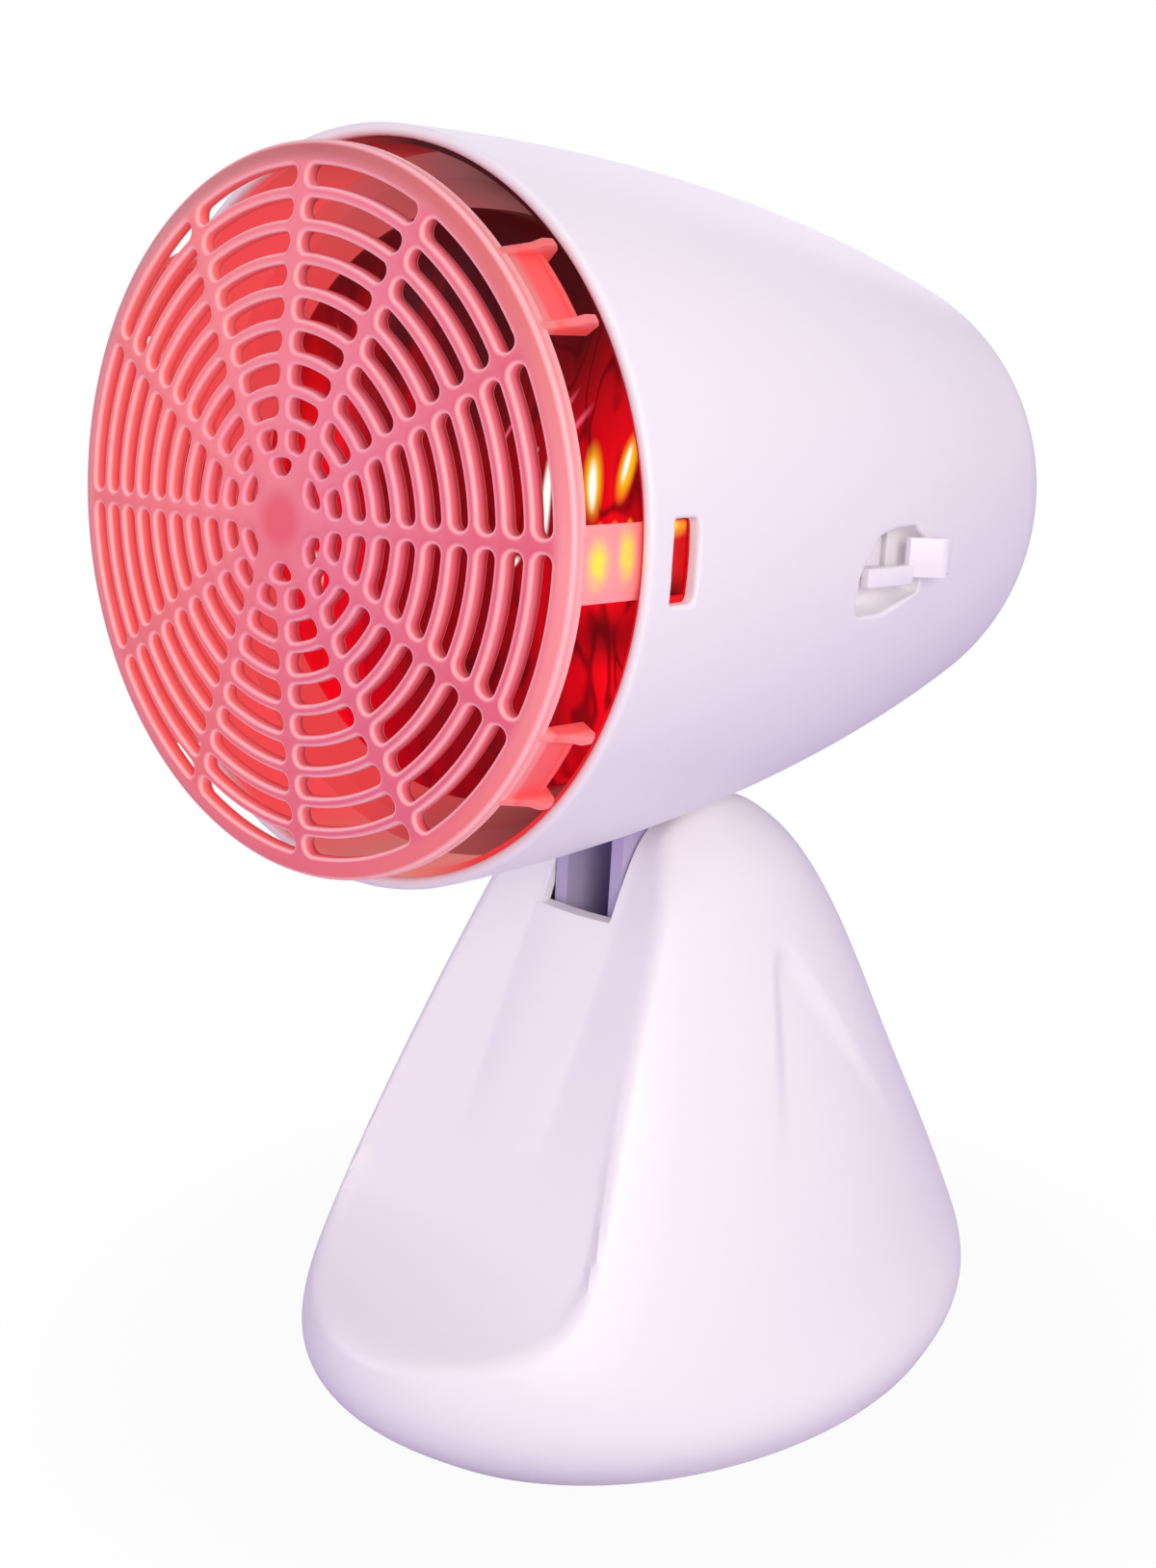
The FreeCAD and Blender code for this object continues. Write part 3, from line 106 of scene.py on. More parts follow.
@dataclass(frozen=True)
class HeadFrame:
    """The head's own axes, in millimetres: +X right, +Y up and +Z out of the mouth."""

    pivot_y: float = 6.1
    pivot_z: float = 110.0
    reach: float = 99.0
    rise: float = 98.0
    tilt: float = math.radians(5.0)

    def matrix(self) -> Matrix:
        """Transform from the head's millimetres to the scene's metres.

        Returns:
            The 4 x 4 matrix.
        """
        sine, cosine = math.sin(self.tilt), math.cos(self.tilt)
        y = self.pivot_y + self.rise * sine - self.reach * cosine
        z = self.pivot_z + self.rise * cosine + self.reach * sine
        rows = ((1, 0, 0, 0), (0, sine, -cosine, y), (0, cosine, sine, z), (0, 0, 0, 1))
        return Matrix.Scale(MM, 4) @ Matrix(rows)


HEAD_PLACE = HeadFrame().matrix()
BASE_PLACE = Matrix.Scale(MM, 4)


# ---------------------------------------------------------------- colour and shader helpers


def linear(code: str) -> tuple[float, float, float, float]:
    """Linear colour of an sRGB hex code.

    Args:
        code: Six hex digits after a hash.

    Returns:
        Red, green, blue and an alpha of one.
    """
    parts = [int(code[i:i + 2], 16) / 255 for i in (1, 3, 5)]
    red, green, blue = (p / 12.92 if p <= 0.04045 else ((p + 0.055) / 1.055) ** 2.4 for p in parts)
    return red, green, blue, 1.0


# Settings that many nodes share.
SMOOTH = {"interpolation_type": "SMOOTHSTEP"}
COLOURS = {"data_type": "RGBA"}


def per_metre(size_mm: float) -> float:
    """Scale at which a pattern's features are about as large as a size in millimetres."""
    return 1 / (size_mm * MM)


class Nodes:
    """A node tree while it is made."""

    def __init__(self, tree: bpy.types.NodeTree) -> None:
        self.tree = tree
        tree.nodes.clear()

    def link(self, start: bpy.types.NodeSocket, end: bpy.types.NodeSocket) -> None:
        """Link one socket to another."""
        self.tree.links.new(start, end)

    def put(self, socket: bpy.types.NodeSocket, value) -> None:
        """Set a socket to a constant, or link it to a socket.

        Args:
            socket: The input socket.
            value: A number, a tuple, a hex code or an output socket.
        """
        if isinstance(value, bpy.types.NodeSocket):
            self.link(value, socket)
        elif isinstance(value, str):
            socket.default_value = linear(value)
        else:
            socket.default_value = value

    def node(self, kind: str, inputs: Sequence | dict = (), out: int | str = 0, stops: Sequence = (),
             **settings) -> bpy.types.NodeSocket:
        """Add a node with its settings and links.

        Args:
            kind: Node type, of which a leading ShaderNode may be left out.
            inputs: Values or sockets, by name or in the order of the inputs in use.
            out: The output to return, by name or by number among those in use.
            stops: Places and hex codes of a colour ramp.
            settings: Properties of the node.

        Returns:
            The output socket.
        """
        made = self.tree.nodes.new(kind if "Node" in kind else "ShaderNode" + kind)
        for key, value in settings.items():
            setattr(made, key, value)
        for index, (place, code) in enumerate(stops):
            elements = made.color_ramp.elements
            element = elements[index] if index < len(elements) else elements.new(1.0)
            element.position, element.color = place, linear(code)
        used = [socket for socket in made.inputs if socket.enabled]
        for key, value in inputs.items() if isinstance(inputs, dict) else enumerate(inputs):
            self.put(used[key] if isinstance(key, int) else made.inputs[key], value)
        return made.outputs[out] if isinstance(out, str) else [s for s in made.outputs if s.enabled][out]


class Shader(Nodes):
    """One material while it is made."""

    def __init__(self, name: str) -> None:
        self.material = bpy.data.materials.new(name)
        self.material.use_nodes = True
        super().__init__(self.material.node_tree)
        self.output = self.tree.nodes.new("ShaderNodeOutputMaterial")
        self.surface = self.tree.nodes.new("ShaderNodeBsdfPrincipled")
        self.link(self.surface.outputs[0], self.output.inputs["Surface"])
        self.place = self.node("TexCoord", out="Object")

    def set(self, **values) -> "Shader":
        """Set inputs of the Principled shader, named with underscores for spaces."""
        for name, value in values.items():
            self.put(self.surface.inputs[name.replace("_", " ")], value)
        return self

    def relief(self, height: bpy.types.NodeSocket, depth_mm: float, strength: float = 1.0) -> "Shader":
        """Give the surface a fine relief."""
        inputs = {"Height": height, "Distance": depth_mm * MM, "Strength": strength}
        self.link(self.node("Bump", inputs), self.surface.inputs["Normal"])
        return self

    def head_mm(self) -> bpy.types.NodeSocket:
        """Place in the head's own millimetres, for a piece that rides the head."""
        moved = (self.place, HEAD_PLACE.to_translation(), HEAD_PLACE.to_euler(), (MM, MM, MM))
        return self.node("Mapping", moved, vector_type="TEXTURE")

    def layers(self, colour, *coats: tuple) -> bpy.types.NodeSocket:
        """Colour under coats, each given by its share and its colour."""
        for share, coat in coats:
            colour = self.node("Mix", (share, colour, coat), **COLOURS)
        return colour

    def around(self, x: bpy.types.NodeSocket, y: bpy.types.NodeSocket,
               stops: Sequence) -> bpy.types.NodeSocket:
        """Colour by the angle round the head's axis, from the left over the underside and back."""
        turn = self.node("Math", (y, x), operation="ARCTAN2")
        return self.node("ValToRGB", (self.node("MapRange", (turn, -math.pi, math.pi)),), stops=stops)

    def spot(self, vector: bpy.types.NodeSocket, centre: tuple[float, float], size: tuple[float, float],
             turn: float, soft: float) -> bpy.types.NodeSocket:
        """Soft ellipse in the plane of a vector's first two values.

        Args:
            vector: Place to look at.
            centre: Centre of the ellipse.
            size: Its half widths.
            turn: Its angle, in degrees.
            soft: Share of the half width over which it fades out.

        Returns:
            A socket that is one inside and zero outside.
        """
        moved = (vector, (*centre, 0.0), (0.0, 0.0, math.radians(turn)), (*size, 1000.0))
        at = self.node("Mapping", moved, vector_type="TEXTURE")
        reach = self.node("VectorMath", (at,), operation="LENGTH")
        return self.node("MapRange", (reach, 1.0 - soft, 1.0 + soft * 0.3, 1.0, 0.0), **SMOOTH)


# ---------------------------------------------------------------- mesh helpers


def quads_between(first: Sequence[int], second: Sequence[int], closed: bool = True) -> list[tuple]:
    """Quads that join two rows of vertices with the same count.

    Args:
        first: Indices of the first row.
        second: Indices of the second row.
        closed: Whether the rows close on themselves.

    Returns:
        The faces.
    """
    count = len(first)
    last = count if closed else count - 1
    return [(first[k], first[(k + 1) % count], second[(k + 1) % count], second[k]) for k in range(last)]


@dataclass
class Build:
    """Vertices and faces of one mesh while it is made, in millimetres."""

    points: list = field(default_factory=list)
    faces: list = field(default_factory=list)
    marks: dict = field(default_factory=dict)

    def row(self, points: Iterable, mark: float = 0.0) -> list[int]:
        """Add a row of vertices.

        Args:
            points: Their places.
            mark: Value of the row's edge attribute.

        Returns:
            Their indices.
        """
        start = len(self.points)
        self.points.extend(tuple(float(c) for c in p) for p in points)
        made = list(range(start, len(self.points)))
        if mark:
            self.marks.update(dict.fromkeys(made, mark))
        return made

    def join(self, first: Sequence[int], second: Sequence[int], closed: bool = True) -> None:
        """Join two rows with quads."""
        self.faces.extend(quads_between(first, second, closed))

    def chain(self, rows: Sequence[Sequence[int]], closed: bool = True) -> None:
        """Join each row to the next."""
        for first, second in zip(rows, rows[1:]):
            self.join(first, second, closed)

    def lid(self, row: Sequence[int]) -> None:
        """Close a row with one face."""
        self.faces.append(tuple(row))

    def mesh(self, name: str) -> bpy.types.Mesh:
        """Mesh with outward normals, in millimetres."""
        made = bpy.data.meshes.new(name)
        made.from_pydata(self.points, [], self.faces)
        if self.marks:
            values = np.zeros(len(self.points), dtype=np.float32)
            values[list(self.marks)] = list(self.marks.values())
            made.attributes.new("edge", "FLOAT", "POINT").data.foreach_set("value", values)
        made.update()
        return made


def tidy(mesh: bpy.types.Mesh, weld_mm: float = WELD) -> bpy.types.Mesh:
    """Weld a mesh's doubled vertices, drop the ones that no face uses and turn its normals outward."""
    work = bmesh.new()
    work.from_mesh(mesh)
    bmesh.ops.remove_doubles(work, verts=work.verts, dist=weld_mm)
    bmesh.ops.delete(work, geom=[v for v in work.verts if not v.link_faces], context="VERTS")
    bmesh.ops.recalc_face_normals(work, faces=work.faces)
    work.to_mesh(mesh)
    work.free()
    return mesh


def piece(name: str, mesh: bpy.types.Mesh, place: Matrix, body: BodyName, slot: Slot,
          material: bpy.types.Material, replaces: Sequence[str] = (),
          crease: float = 35.0) -> bpy.types.Object:
    """Object of a mesh, in its place and on its body.

    Args:
        name: Name of the object.
        mesh: Its mesh, in millimetres.
        place: Transform to the scene's metres.
        body: Body that carries it.
        slot: Material slot of the record; not used.
        material: Its finish.
        replaces: CAD nodes that it stands for.
        crease: Angle in degrees above which an edge is sharp.

    Returns:
        The object, at the origin.
    """
    mesh.transform(place)
    mesh.shade_smooth()
    mesh.set_sharp_from_angle(angle=math.radians(crease))
    mesh.materials.clear()
    mesh.materials.append(material)
    made = bpy.data.objects.new(name, mesh)
    bpy.context.scene.collection.objects.link(made)
    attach(made, body.value)
    if replaces:
        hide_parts(*replaces)
    log.info("%s: %d faces", name, len(mesh.polygons))
    return made


def turned(profile: Sequence[tuple[float, float]], segments: int = 96, closed: bool = True) -> Build:
    """Surface of revolution about the local Z axis.

    Args:
        profile: Radius and height of each point, closed on itself unless told otherwise.
        segments: Steps round the axis.
        closed: Whether the last point joins the first.

    Returns:
        The build.
    """
    made = Build()
    angles = np.linspace(0, 2 * math.pi, segments, endpoint=False)
    rows = [made.row([(r * math.cos(a), r * math.sin(a), h) for a in angles]) for r, h in profile]
    made.chain(rows + [rows[0]] if closed else rows)
    return made


def arc(centre: tuple[float, float], radius: float, start: float, end: float, steps: int) -> list[tuple]:
    """Points along an arc in a plane, with angles in degrees."""
    return [(centre[0] + radius * math.cos(a), centre[1] + radius * math.sin(a))
            for a in np.radians(np.linspace(start, end, steps + 1))]


def rounded(points: Sequence[tuple[float, float]], radii: Sequence[float], steps: int = 6) -> np.ndarray:
    """Closed outline with an arc at each corner.

    Args:
        points: Corners in order.
        radii: Radius at each corner.
        steps: Steps in each arc.

    Returns:
        The outline's points.
    """
    made = []
    corners = [Vector(p) for p in points]
    for index, corner in enumerate(corners):
        before = corners[index - 1] - corner
        after = corners[(index + 1) % len(corners)] - corner
        radius = radii[index]
        if radius <= 0:
            made.append(tuple(corner))
            continue
        half = before.angle(after) / 2
        reach = min(radius / math.tan(half), before.length * 0.499, after.length * 0.499)
        start, end = corner + before.normalized() * reach, corner + after.normalized() * reach
        middle = (before.normalized() + after.normalized()).normalized()
        centre = corner + middle * (reach / math.cos(half))
        size = (start - centre).length
        for share in np.linspace(0, 1, steps + 1):
            way = (start - centre).lerp(end - centre, float(share)).normalized()
            made.append(tuple(centre + way * size))
    return np.array(made)


def bevelled(build: Build, name: str, width: float, segments: int = 3, sharp: float = 30.0) -> bpy.types.Mesh:
    """Mesh of a build with its sharp edges rounded.

    Args:
        build: Vertices and faces.
        name: Name of the mesh.
        width: Bevel width in millimetres.
        segments: Steps in the rounding.
        sharp: Angle in degrees above which an edge is rounded.

    Returns:
        The mesh.
    """
    mesh = build.mesh(name)
    work = bmesh.new()
    work.from_mesh(mesh)
    bmesh.ops.remove_doubles(work, verts=work.verts, dist=WELD)
    bmesh.ops.recalc_face_normals(work, faces=work.faces)
    edges = [e for e in work.edges if len(e.link_faces) == 2 and e.calc_face_angle() > math.radians(sharp)]
    bmesh.ops.bevel(work, geom=edges, offset=width, segments=segments, profile=0.5, affect="EDGES",
                    clamp_overlap=True)
    work.to_mesh(mesh)
    work.free()
    return mesh


def dense(outline: np.ndarray, step: float = 0.4) -> np.ndarray:
    """Closed outline with more points along its straight runs.

    Args:
        outline: Points of the outline.
        step: Greatest distance between two points.

    Returns:
        The outline's points.
    """
    made = []
    for start, end in zip(outline, np.roll(outline, -1, axis=0)):
        count = max(1, int(math.ceil(np.hypot(*(end - start)) / step)))
        made += [start + (end - start) * k / count for k in range(count)]
    return np.array(made)


def slab(outline: Sequence[tuple[float, float]], low: float, high: float,
         to_space: Callable[[float, float, float], tuple], cuts: int = 1) -> Build:
    """Solid between two levels of an outline.

    Args:
        outline: Points of the outline.
        low: First level.
        high: Last level.
        to_space: Maps an outline point and a level to a place.
        cuts: Steps between the levels.

    Returns:
        The build.
    """
    made = Build()
    rows = [made.row([to_space(u, v, float(w)) for u, v in outline])
            for w in np.linspace(low, high, cuts + 1)]
    made.chain(rows)
    made.lid(rows[0][::-1])
    made.lid(rows[-1])
    return made


def along_y(u: float, v: float, w: float) -> tuple:
    """Place of an outline in the XZ plane at a level of Y."""
    return (u, w, v)


def join_meshes(name: str, meshes: Sequence[bpy.types.Mesh]) -> bpy.types.Mesh:
    """One mesh made of several."""
    work = bmesh.new()
    for mesh in meshes:
        work.from_mesh(mesh)
    made = bpy.data.meshes.new(name)
    work.to_mesh(made)
    work.free()
    return made


def repeat_tree() -> bpy.types.NodeTree:
    """Geometry Nodes tree that repeats a sector round the Z axis.

    Returns:
        A group with the inputs Geometry, Count and Material.
    """
    tree = bpy.data.node_groups.get("Repeat round axis")
    if tree:
        return tree
    tree = bpy.data.node_groups.new("Repeat round axis", "GeometryNodeTree")
    face = tree.interface
    face.new_socket("Geometry", in_out="INPUT", socket_type="NodeSocketGeometry")
    face.new_socket("Count", in_out="INPUT", socket_type="NodeSocketInt")
    face.new_socket("Material", in_out="INPUT", socket_type="NodeSocketMaterial")
    face.new_socket("Geometry", in_out="OUTPUT", socket_type="NodeSocketGeometry")
    made = Nodes(tree)
    count = made.node("NodeGroupInput", out="Count")
    sector = made.node("NodeGroupInput", out="Geometry")
    finish = made.node("NodeGroupInput", out="Material")
    points = made.node("GeometryNodePoints", {"Count": count})
    step = made.node("Math", (2 * math.pi, count), operation="DIVIDE")
    turn = made.node("Math", (step, made.node("GeometryNodeInputIndex")), operation="MULTIPLY")
    places = {"Points": points, "Instance": sector, "Rotation": made.node("CombineXYZ", {"Z": turn})}
    real = made.node("GeometryNodeRealizeInstances", (made.node("GeometryNodeInstanceOnPoints", places),))
    weld = made.node("GeometryNodeMergeByDistance", {"Geometry": real, "Distance": 2 * WELD})
    dressed = made.node("GeometryNodeSetMaterial", {"Geometry": weld, "Material": finish})
    made.link(dressed, tree.nodes.new("NodeGroupOutput").inputs[0])
    return tree


def repeated(sector: bpy.types.Mesh, count: int, finish: bpy.types.Material) -> bpy.types.Mesh:
    """Mesh of a sector repeated round the Z axis with Geometry Nodes.

    Args:
        sector: Mesh of one sector.
        count: Number of copies.
        finish: Material of the copies.

    Returns:
        The plain mesh of all copies, welded.
    """
    tree = repeat_tree()
    carrier = bpy.data.objects.new("sector", sector)
    bpy.context.scene.collection.objects.link(carrier)
    modifier = carrier.modifiers.new("repeat", "NODES")
    modifier.node_group = tree
    sockets = {item.name: item.identifier for item in tree.interface.items_tree if item.in_out == "INPUT"}
    modifier[sockets["Count"]] = count
    modifier[sockets["Material"]] = finish
    bpy.context.view_layer.update()
    shown = carrier.evaluated_get(bpy.context.evaluated_depsgraph_get())
    made = bpy.data.meshes.new_from_object(shown)
    carrier.modifiers.remove(modifier)
    bpy.data.objects.remove(carrier)
    return made


# ---------------------------------------------------------------- head shell


@dataclass(frozen=True)
class HeadSizes:
    """Sizes of the head shell, in millimetres. Depths run back from the mouth."""

    mouth: float = 75.0
    side: float = 590.0
    wall: float = 2.5
    lip: float = 1.1
    turn_back: float = 160.0
    turn_radius: float = 42.0
    turn_centre: tuple[float, float] = (12.47, 148.6)
    rear_opening: float = 34.0
    window_back: float = 10.1
    window_length: float = 7.0
    window_height: float = 15.6
    dish_front: float = 71.0
    dish_rear: float = 98.0
    dish_top: float = 1.9
    dish_bottom: float = -15.8
    dish_floor: float = 61.5
    dish_round: tuple[float, float] = (2.6, 4.2)
    cup: float = 3.0
    slot: tuple[float, float, float, float] = (79.5, 91.2, -9.6, 1.6)
    slot_floor: float = 54.0
    ledge_front: float = 22.0
    ledge_middle: float = 23.0
    ledge_back: float = 24.5
    ledge_bore: float = 67.0
    fine_turn: float = 0.8
    fine_end: float = 19.0
    window_patch: tuple[float, float, float] = (2.5, 17.0, 11.5)
    dish_patch: tuple[float, float, float] = (66.0, 104.0, 21.5)

    def radius(self, back: float) -> float:
        """Outer radius at a depth."""
        return math.sqrt(self.side ** 2 - back ** 2) + self.mouth - self.side


class HeadShell:
    """Bullet-shaped shell with side windows and a dish for the switch lever."""

    def __init__(self, sizes: HeadSizes, finish: bpy.types.Material) -> None:
        self.sizes = sizes
        self.finish = finish
        fine = np.arange(0, sizes.fine_end, sizes.fine_turn)
        coarse = np.linspace(sizes.fine_end, 180 - sizes.fine_end, 68)
        self.columns = np.radians(np.concatenate([fine, coarse, 180 - fine[::-1][:-1]]))
        self.columns = np.concatenate([self.columns, self.columns + math.pi])
        # Rows lie closer together at the windows and at the dish.
        runs = ((sizes.lip, 17.9, 22), (21, 63, 15), (65, 105, 46), (108.5, sizes.turn_back, 15))
        self.backs = np.concatenate([np.linspace(*run) for run in runs])
        self.build = Build()

    def skin(self, inset: float) -> tuple[list[list[int]], list[tuple[float, float]]]:
        """Rows of one skin, from the mouth back to the rear opening.

        Args:
            inset: Distance in from the outer skin.

        Returns:
            The rows of vertices and their radius and depth.
        """
        s = self.sizes
        body = [(s.radius(b) - inset, b) for b in self.backs]
        centre_r, centre_back = s.turn_centre
        first = math.degrees(math.asin((s.turn_back - centre_back) / s.turn_radius))
        last = math.degrees(math.acos((s.rear_opening - centre_r) / s.turn_radius))
        turn = arc(s.turn_centre, s.turn_radius - inset, first, last, 18)[1:]
        stations = body + turn
        return [self.ring(r, b) for r, b in stations], stations

    def ring(self, radius: float, back: float) -> list[int]:
        """Row of vertices round the axis."""
        return self.build.row([(radius * math.cos(a), radius * math.sin(a), -back) for a in self.columns])

    def block(self, low: float, high: float, half: float, way: int) -> tuple[list, set]:
        """Boundary of a block of cells round an opening.

        Args:
            low: Least depth.
            high: Greatest depth.
            half: Half height of the block.
            way: 1 for the right side, -1 for the left.

        Returns:
            The boundary's row and column numbers, and the cells inside.
        """
        count = len(self.columns)
        reach = math.asin(half / self.sizes.mouth)
        middle = 0 if way > 0 else int(np.argmin(abs(self.columns - math.pi)))
        step = int(round(reach / math.radians(self.sizes.fine_turn)))
        across = [(middle + way * k) % count for k in range(-step, step + 1)]
        down = [i for i, b in enumerate(self.backs) if low <= b <= high]
        loop = [(down[0], c) for c in across] + [(r, across[-1]) for r in down[1:]]
        loop += [(down[-1], c) for c in across[-2::-1]] + [(r, across[0]) for r in down[-2:0:-1]]
        cells = {(r, c if way > 0 else (c - 1) % count) for r in down[:-1] for c in across[:-1]}
        return loop, cells

    def patch(self, outer: list, inner: list, loop: list, outline: np.ndarray, way: int,
              levels: Callable[[np.ndarray, np.ndarray, np.ndarray], list]) -> None:
        """Fill a block between both skins round an opening.

        Args:
            outer: Rows of the outer skin.
            inner: Rows of the inner skin.
            loop: Boundary of the block.
            outline: The opening's outline, as depth and height.
            way: 1 for the right side, -1 for the left.
            levels: Gives the inside rows from the outline, its outward way and the skin's place.
        """
        s = self.sizes
        backs = np.array([self.backs[r] for r, _ in loop])
        heights = np.array([s.radius(self.backs[r]) * math.sin(self.columns[c]) for r, c in loop])
        edge = np.column_stack([backs, heights])
        centre = (outline.min(axis=0) + outline.max(axis=0)) / 2
        scale = (edge.max(axis=0) - edge.min(axis=0)) / 2
        ways = (edge - centre) / scale
        lines = (outline - centre) / scale
        turn = np.arctan2(lines[:, 1], lines[:, 0])
        order = np.argsort(turn)
        sizes = np.hypot(lines[:, 0], lines[:, 1])[order]
        found = np.interp(np.arctan2(ways[:, 1], ways[:, 0]), turn[order], sizes, period=2 * math.pi)
        rim = centre + ways / np.hypot(ways[:, 0], ways[:, 1])[:, None] * found[:, None] * scale
        out = (rim - centre) / np.hypot(*(rim - centre).T)[:, None]

        def on_skin(flat: np.ndarray, deep: float = 0.0) -> np.ndarray:
            """Places on the outer skin, or a little below it."""
            radii = np.sqrt(s.side ** 2 - flat[:, 0] ** 2) + s.mouth - s.side
            across = np.sqrt(radii ** 2 - flat[:, 1] ** 2) - deep
            return np.column_stack([way * across, flat[:, 1], -flat[:, 0]])

        rows = [[outer[r][c] for r, c in loop]]
        start = rim + out * s.lip
        for share in (0.35, 0.7, 0.9):
            rows.append(self.build.row(on_skin(edge + (start - edge) * share)))
        for turned_by in np.radians(np.linspace(0, 90, 6)):
            at = rim + out * s.lip * (1 - math.sin(turned_by))
            rows.append(self.build.row(on_skin(at, s.lip * (1 - math.cos(turned_by)))))
        for row in levels(rim, out, way):
            rows.append(self.build.row(row))
        rows.append([inner[r][c] for r, c in loop])
        self.build.chain(rows)

    def window(self) -> np.ndarray:
        """Outline of a side window."""
        s = self.sizes
        low, high = s.window_back - s.window_length / 2, s.window_back + s.window_length / 2
        tall = s.window_height / 2
        return dense(rounded([(low, -tall), (high, -tall), (high, tall), (low, tall)], [1.2] * 4, 5))

    def dish(self) -> np.ndarray:
        """Outline of the lever's dish."""
        s = self.sizes
        corners = [(s.dish_rear, -1.2), (s.dish_rear - 5.0, s.dish_top), (s.dish_front + 14, s.dish_top),
                   (s.dish_front + 6, s.dish_top - 1.2), (s.dish_front, -6.0),
                   (s.dish_front, s.dish_bottom + 0.2), (84.0, s.dish_bottom), (s.dish_rear, -12.4)]
        return dense(rounded(corners, [1.2, 3, 8, 6, 6, 4, 10, 1.2], 6))

    def window_levels(self, rim: np.ndarray, out: np.ndarray, way: int) -> list:
        """Rows of a window's wall, from the outer skin to the inner one."""
        s = self.sizes
        radii = np.sqrt(s.side ** 2 - rim[:, 0] ** 2) + s.mouth - s.side - s.wall
        across = np.sqrt(radii ** 2 - rim[:, 1] ** 2)
        return [np.column_stack([way * across, rim[:, 1], -rim[:, 0]])]

    def dish_levels(self, rim: np.ndarray, out: np.ndarray, way: int) -> list:
        """Rows of the dish's wall and floor, its slot and the cup behind it."""
        s = self.sizes

        def flat(at: np.ndarray, level: float) -> np.ndarray:
            """Places at one distance from the head's middle plane."""
            return np.column_stack([np.full(len(at), way * level), at[:, 1], -at[:, 0]])

        inward, rise = s.dish_round
        rows = [flat(rim - out * inward * (1 - math.cos(t)), s.dish_floor + rise * (1 - math.sin(t)))
                for t in np.radians(np.linspace(0, 90, 7))]
        back_low, back_high, low, high = s.slot
        centre = np.array([(back_low + back_high) / 2, (low + high) / 2])
        half = np.array([(back_high - back_low) / 2, (high - low) / 2])
        ways = (rim - centre) / half
        slot = centre + ways / np.maximum(abs(ways[:, :1]), abs(ways[:, 1:])) * half
        rows += [flat(slot, s.dish_floor), flat(slot, s.slot_floor)]
        cup = rim + out * s.cup
        rows.append(flat(cup, s.slot_floor))
        radii = np.sqrt(s.side ** 2 - cup[:, 0] ** 2) + s.mouth - s.side - s.wall
        rows.append(np.column_stack([way * np.sqrt(radii ** 2 - cup[:, 1] ** 2), cup[:, 1], -cup[:, 0]]))
        return rows

    def make(self) -> bpy.types.Object:
        """Make the shell.

        Returns:
            The object that replaces the CAD shell.
        """
        s = self.sizes
        outer, _ = self.skin(0.0)
        inner, _ = self.skin(s.wall)
        lip = arc((s.mouth - s.lip, s.lip), s.lip, 0, -90, 4)[1:]
        lip += arc((s.mouth - s.wall + s.lip, s.lip), s.lip, -90, -180, 4)[:-1]
        rows = [self.ring(r, b) for r, b in lip]
        self.build.chain([outer[0]] + rows + [inner[0]])
        self.build.join(outer[-1], inner[-1])
        places = [(self.window(), s.window_patch, way, self.window_levels) for way in (1, -1)]
        places.append((self.dish(), s.dish_patch, 1, self.dish_levels))
        gone: set = set()
        for outline, reach, way, levels in places:
            loop, cells = self.block(*reach, way)
            gone |= cells
            self.patch(outer, inner, loop, outline, way, levels)
        for skin in (outer, inner):
            for r, (first, second) in enumerate(zip(skin, skin[1:])):
                faces = quads_between(first, second)
                self.build.faces.extend(f for c, f in enumerate(faces) if (r, c) not in gone)
        self.ledge()
        mesh = tidy(self.build.mesh("head_shell"))
        return piece("shell_of_head", mesh, HEAD_PLACE, BodyName.HEAD, Slot.SHELL, self.finish,
                     ["head_shell"], 38)

    def ledge(self) -> None:
        """Ring inside the mouth that carries the heat shield."""
        s = self.sizes
        reach = s.radius(s.ledge_middle) - s.wall - 0.01
        profile = ((reach, s.ledge_front), (s.ledge_bore, s.ledge_front),
                   (s.ledge_bore, s.ledge_back), (reach, s.ledge_back))
        rows = [self.ring(r, b) for r, b in profile]
        self.build.chain(rows + [rows[0]])


# ---------------------------------------------------------------- guard grille


@dataclass(frozen=True)
class GuardSizes:
    """Sizes of the guard grille, in millimetres. Heights run out of the mouth."""

    radius: float = 70.7
    front: float = 15.6
    crown: float = 21.7
    wall: float = 3.4
    skirt_back: float = 11.9
    skirt_wall: float = 2.2
    field: float = 66.1
    pitch: float = 6.1
    slot: float = 3.9
    rows: int = 9
    spoke: float = 2.8
    phase: float = 2.5
    spokes: int = 12
    hub_slots: int = 6
    hub_outer: float = 11.8
    hub_inner: float = 8.4
    hub_bar: float = 5.3
    boss: float = 6.3
    mouth: float = 75.0
    leg_width: float = 15.0
    leg_back: float = 15.0
    clip_angles: tuple[float, float] = (41.5, -33.5)
    clip_span: float = 16.4
    clip_low: float = 3.5
    clip_rim: tuple[float, float] = (3.2, 4.6)
    fin_reach: float = 2.8
    fin_width: float = 1.8
    foot: float = 70.75
    foot_length: float = 14.0
    edge: float = 1.3
    corners: tuple[float, float] = (1.9, 1.6)
    wide_rows: int = 6
    hub_corner: float = 1.5
    # Each step round a slot's edge: share of the edge's width, drop and value of the edge attribute, which
    # sets the painted highlight there.
    top_edge: tuple = ((1.0, 0.0, 0.0), (0.6, 0.06, 0.5), (0.26, 0.24, 1.0), (0.06, 0.55, 0.8),
                       (0.0, 0.95, 0.2))
    # The same on the underside, with the width in millimetres and the height above it.
    under_edge: tuple = ((0.0, 0.6, 0.0), (0.15, 0.2, 0.6), (0.5, 0.0, 0.2))

    def height(self, radius: float, inset: float = 0.0) -> float:
        """Height of the dome at a radius, on a skin set in by a distance."""
        rise = self.crown - self.front
        dome = (self.radius ** 2 + rise ** 2) / (2 * rise)
        return self.crown - dome + math.sqrt((dome - inset) ** 2 - radius ** 2)


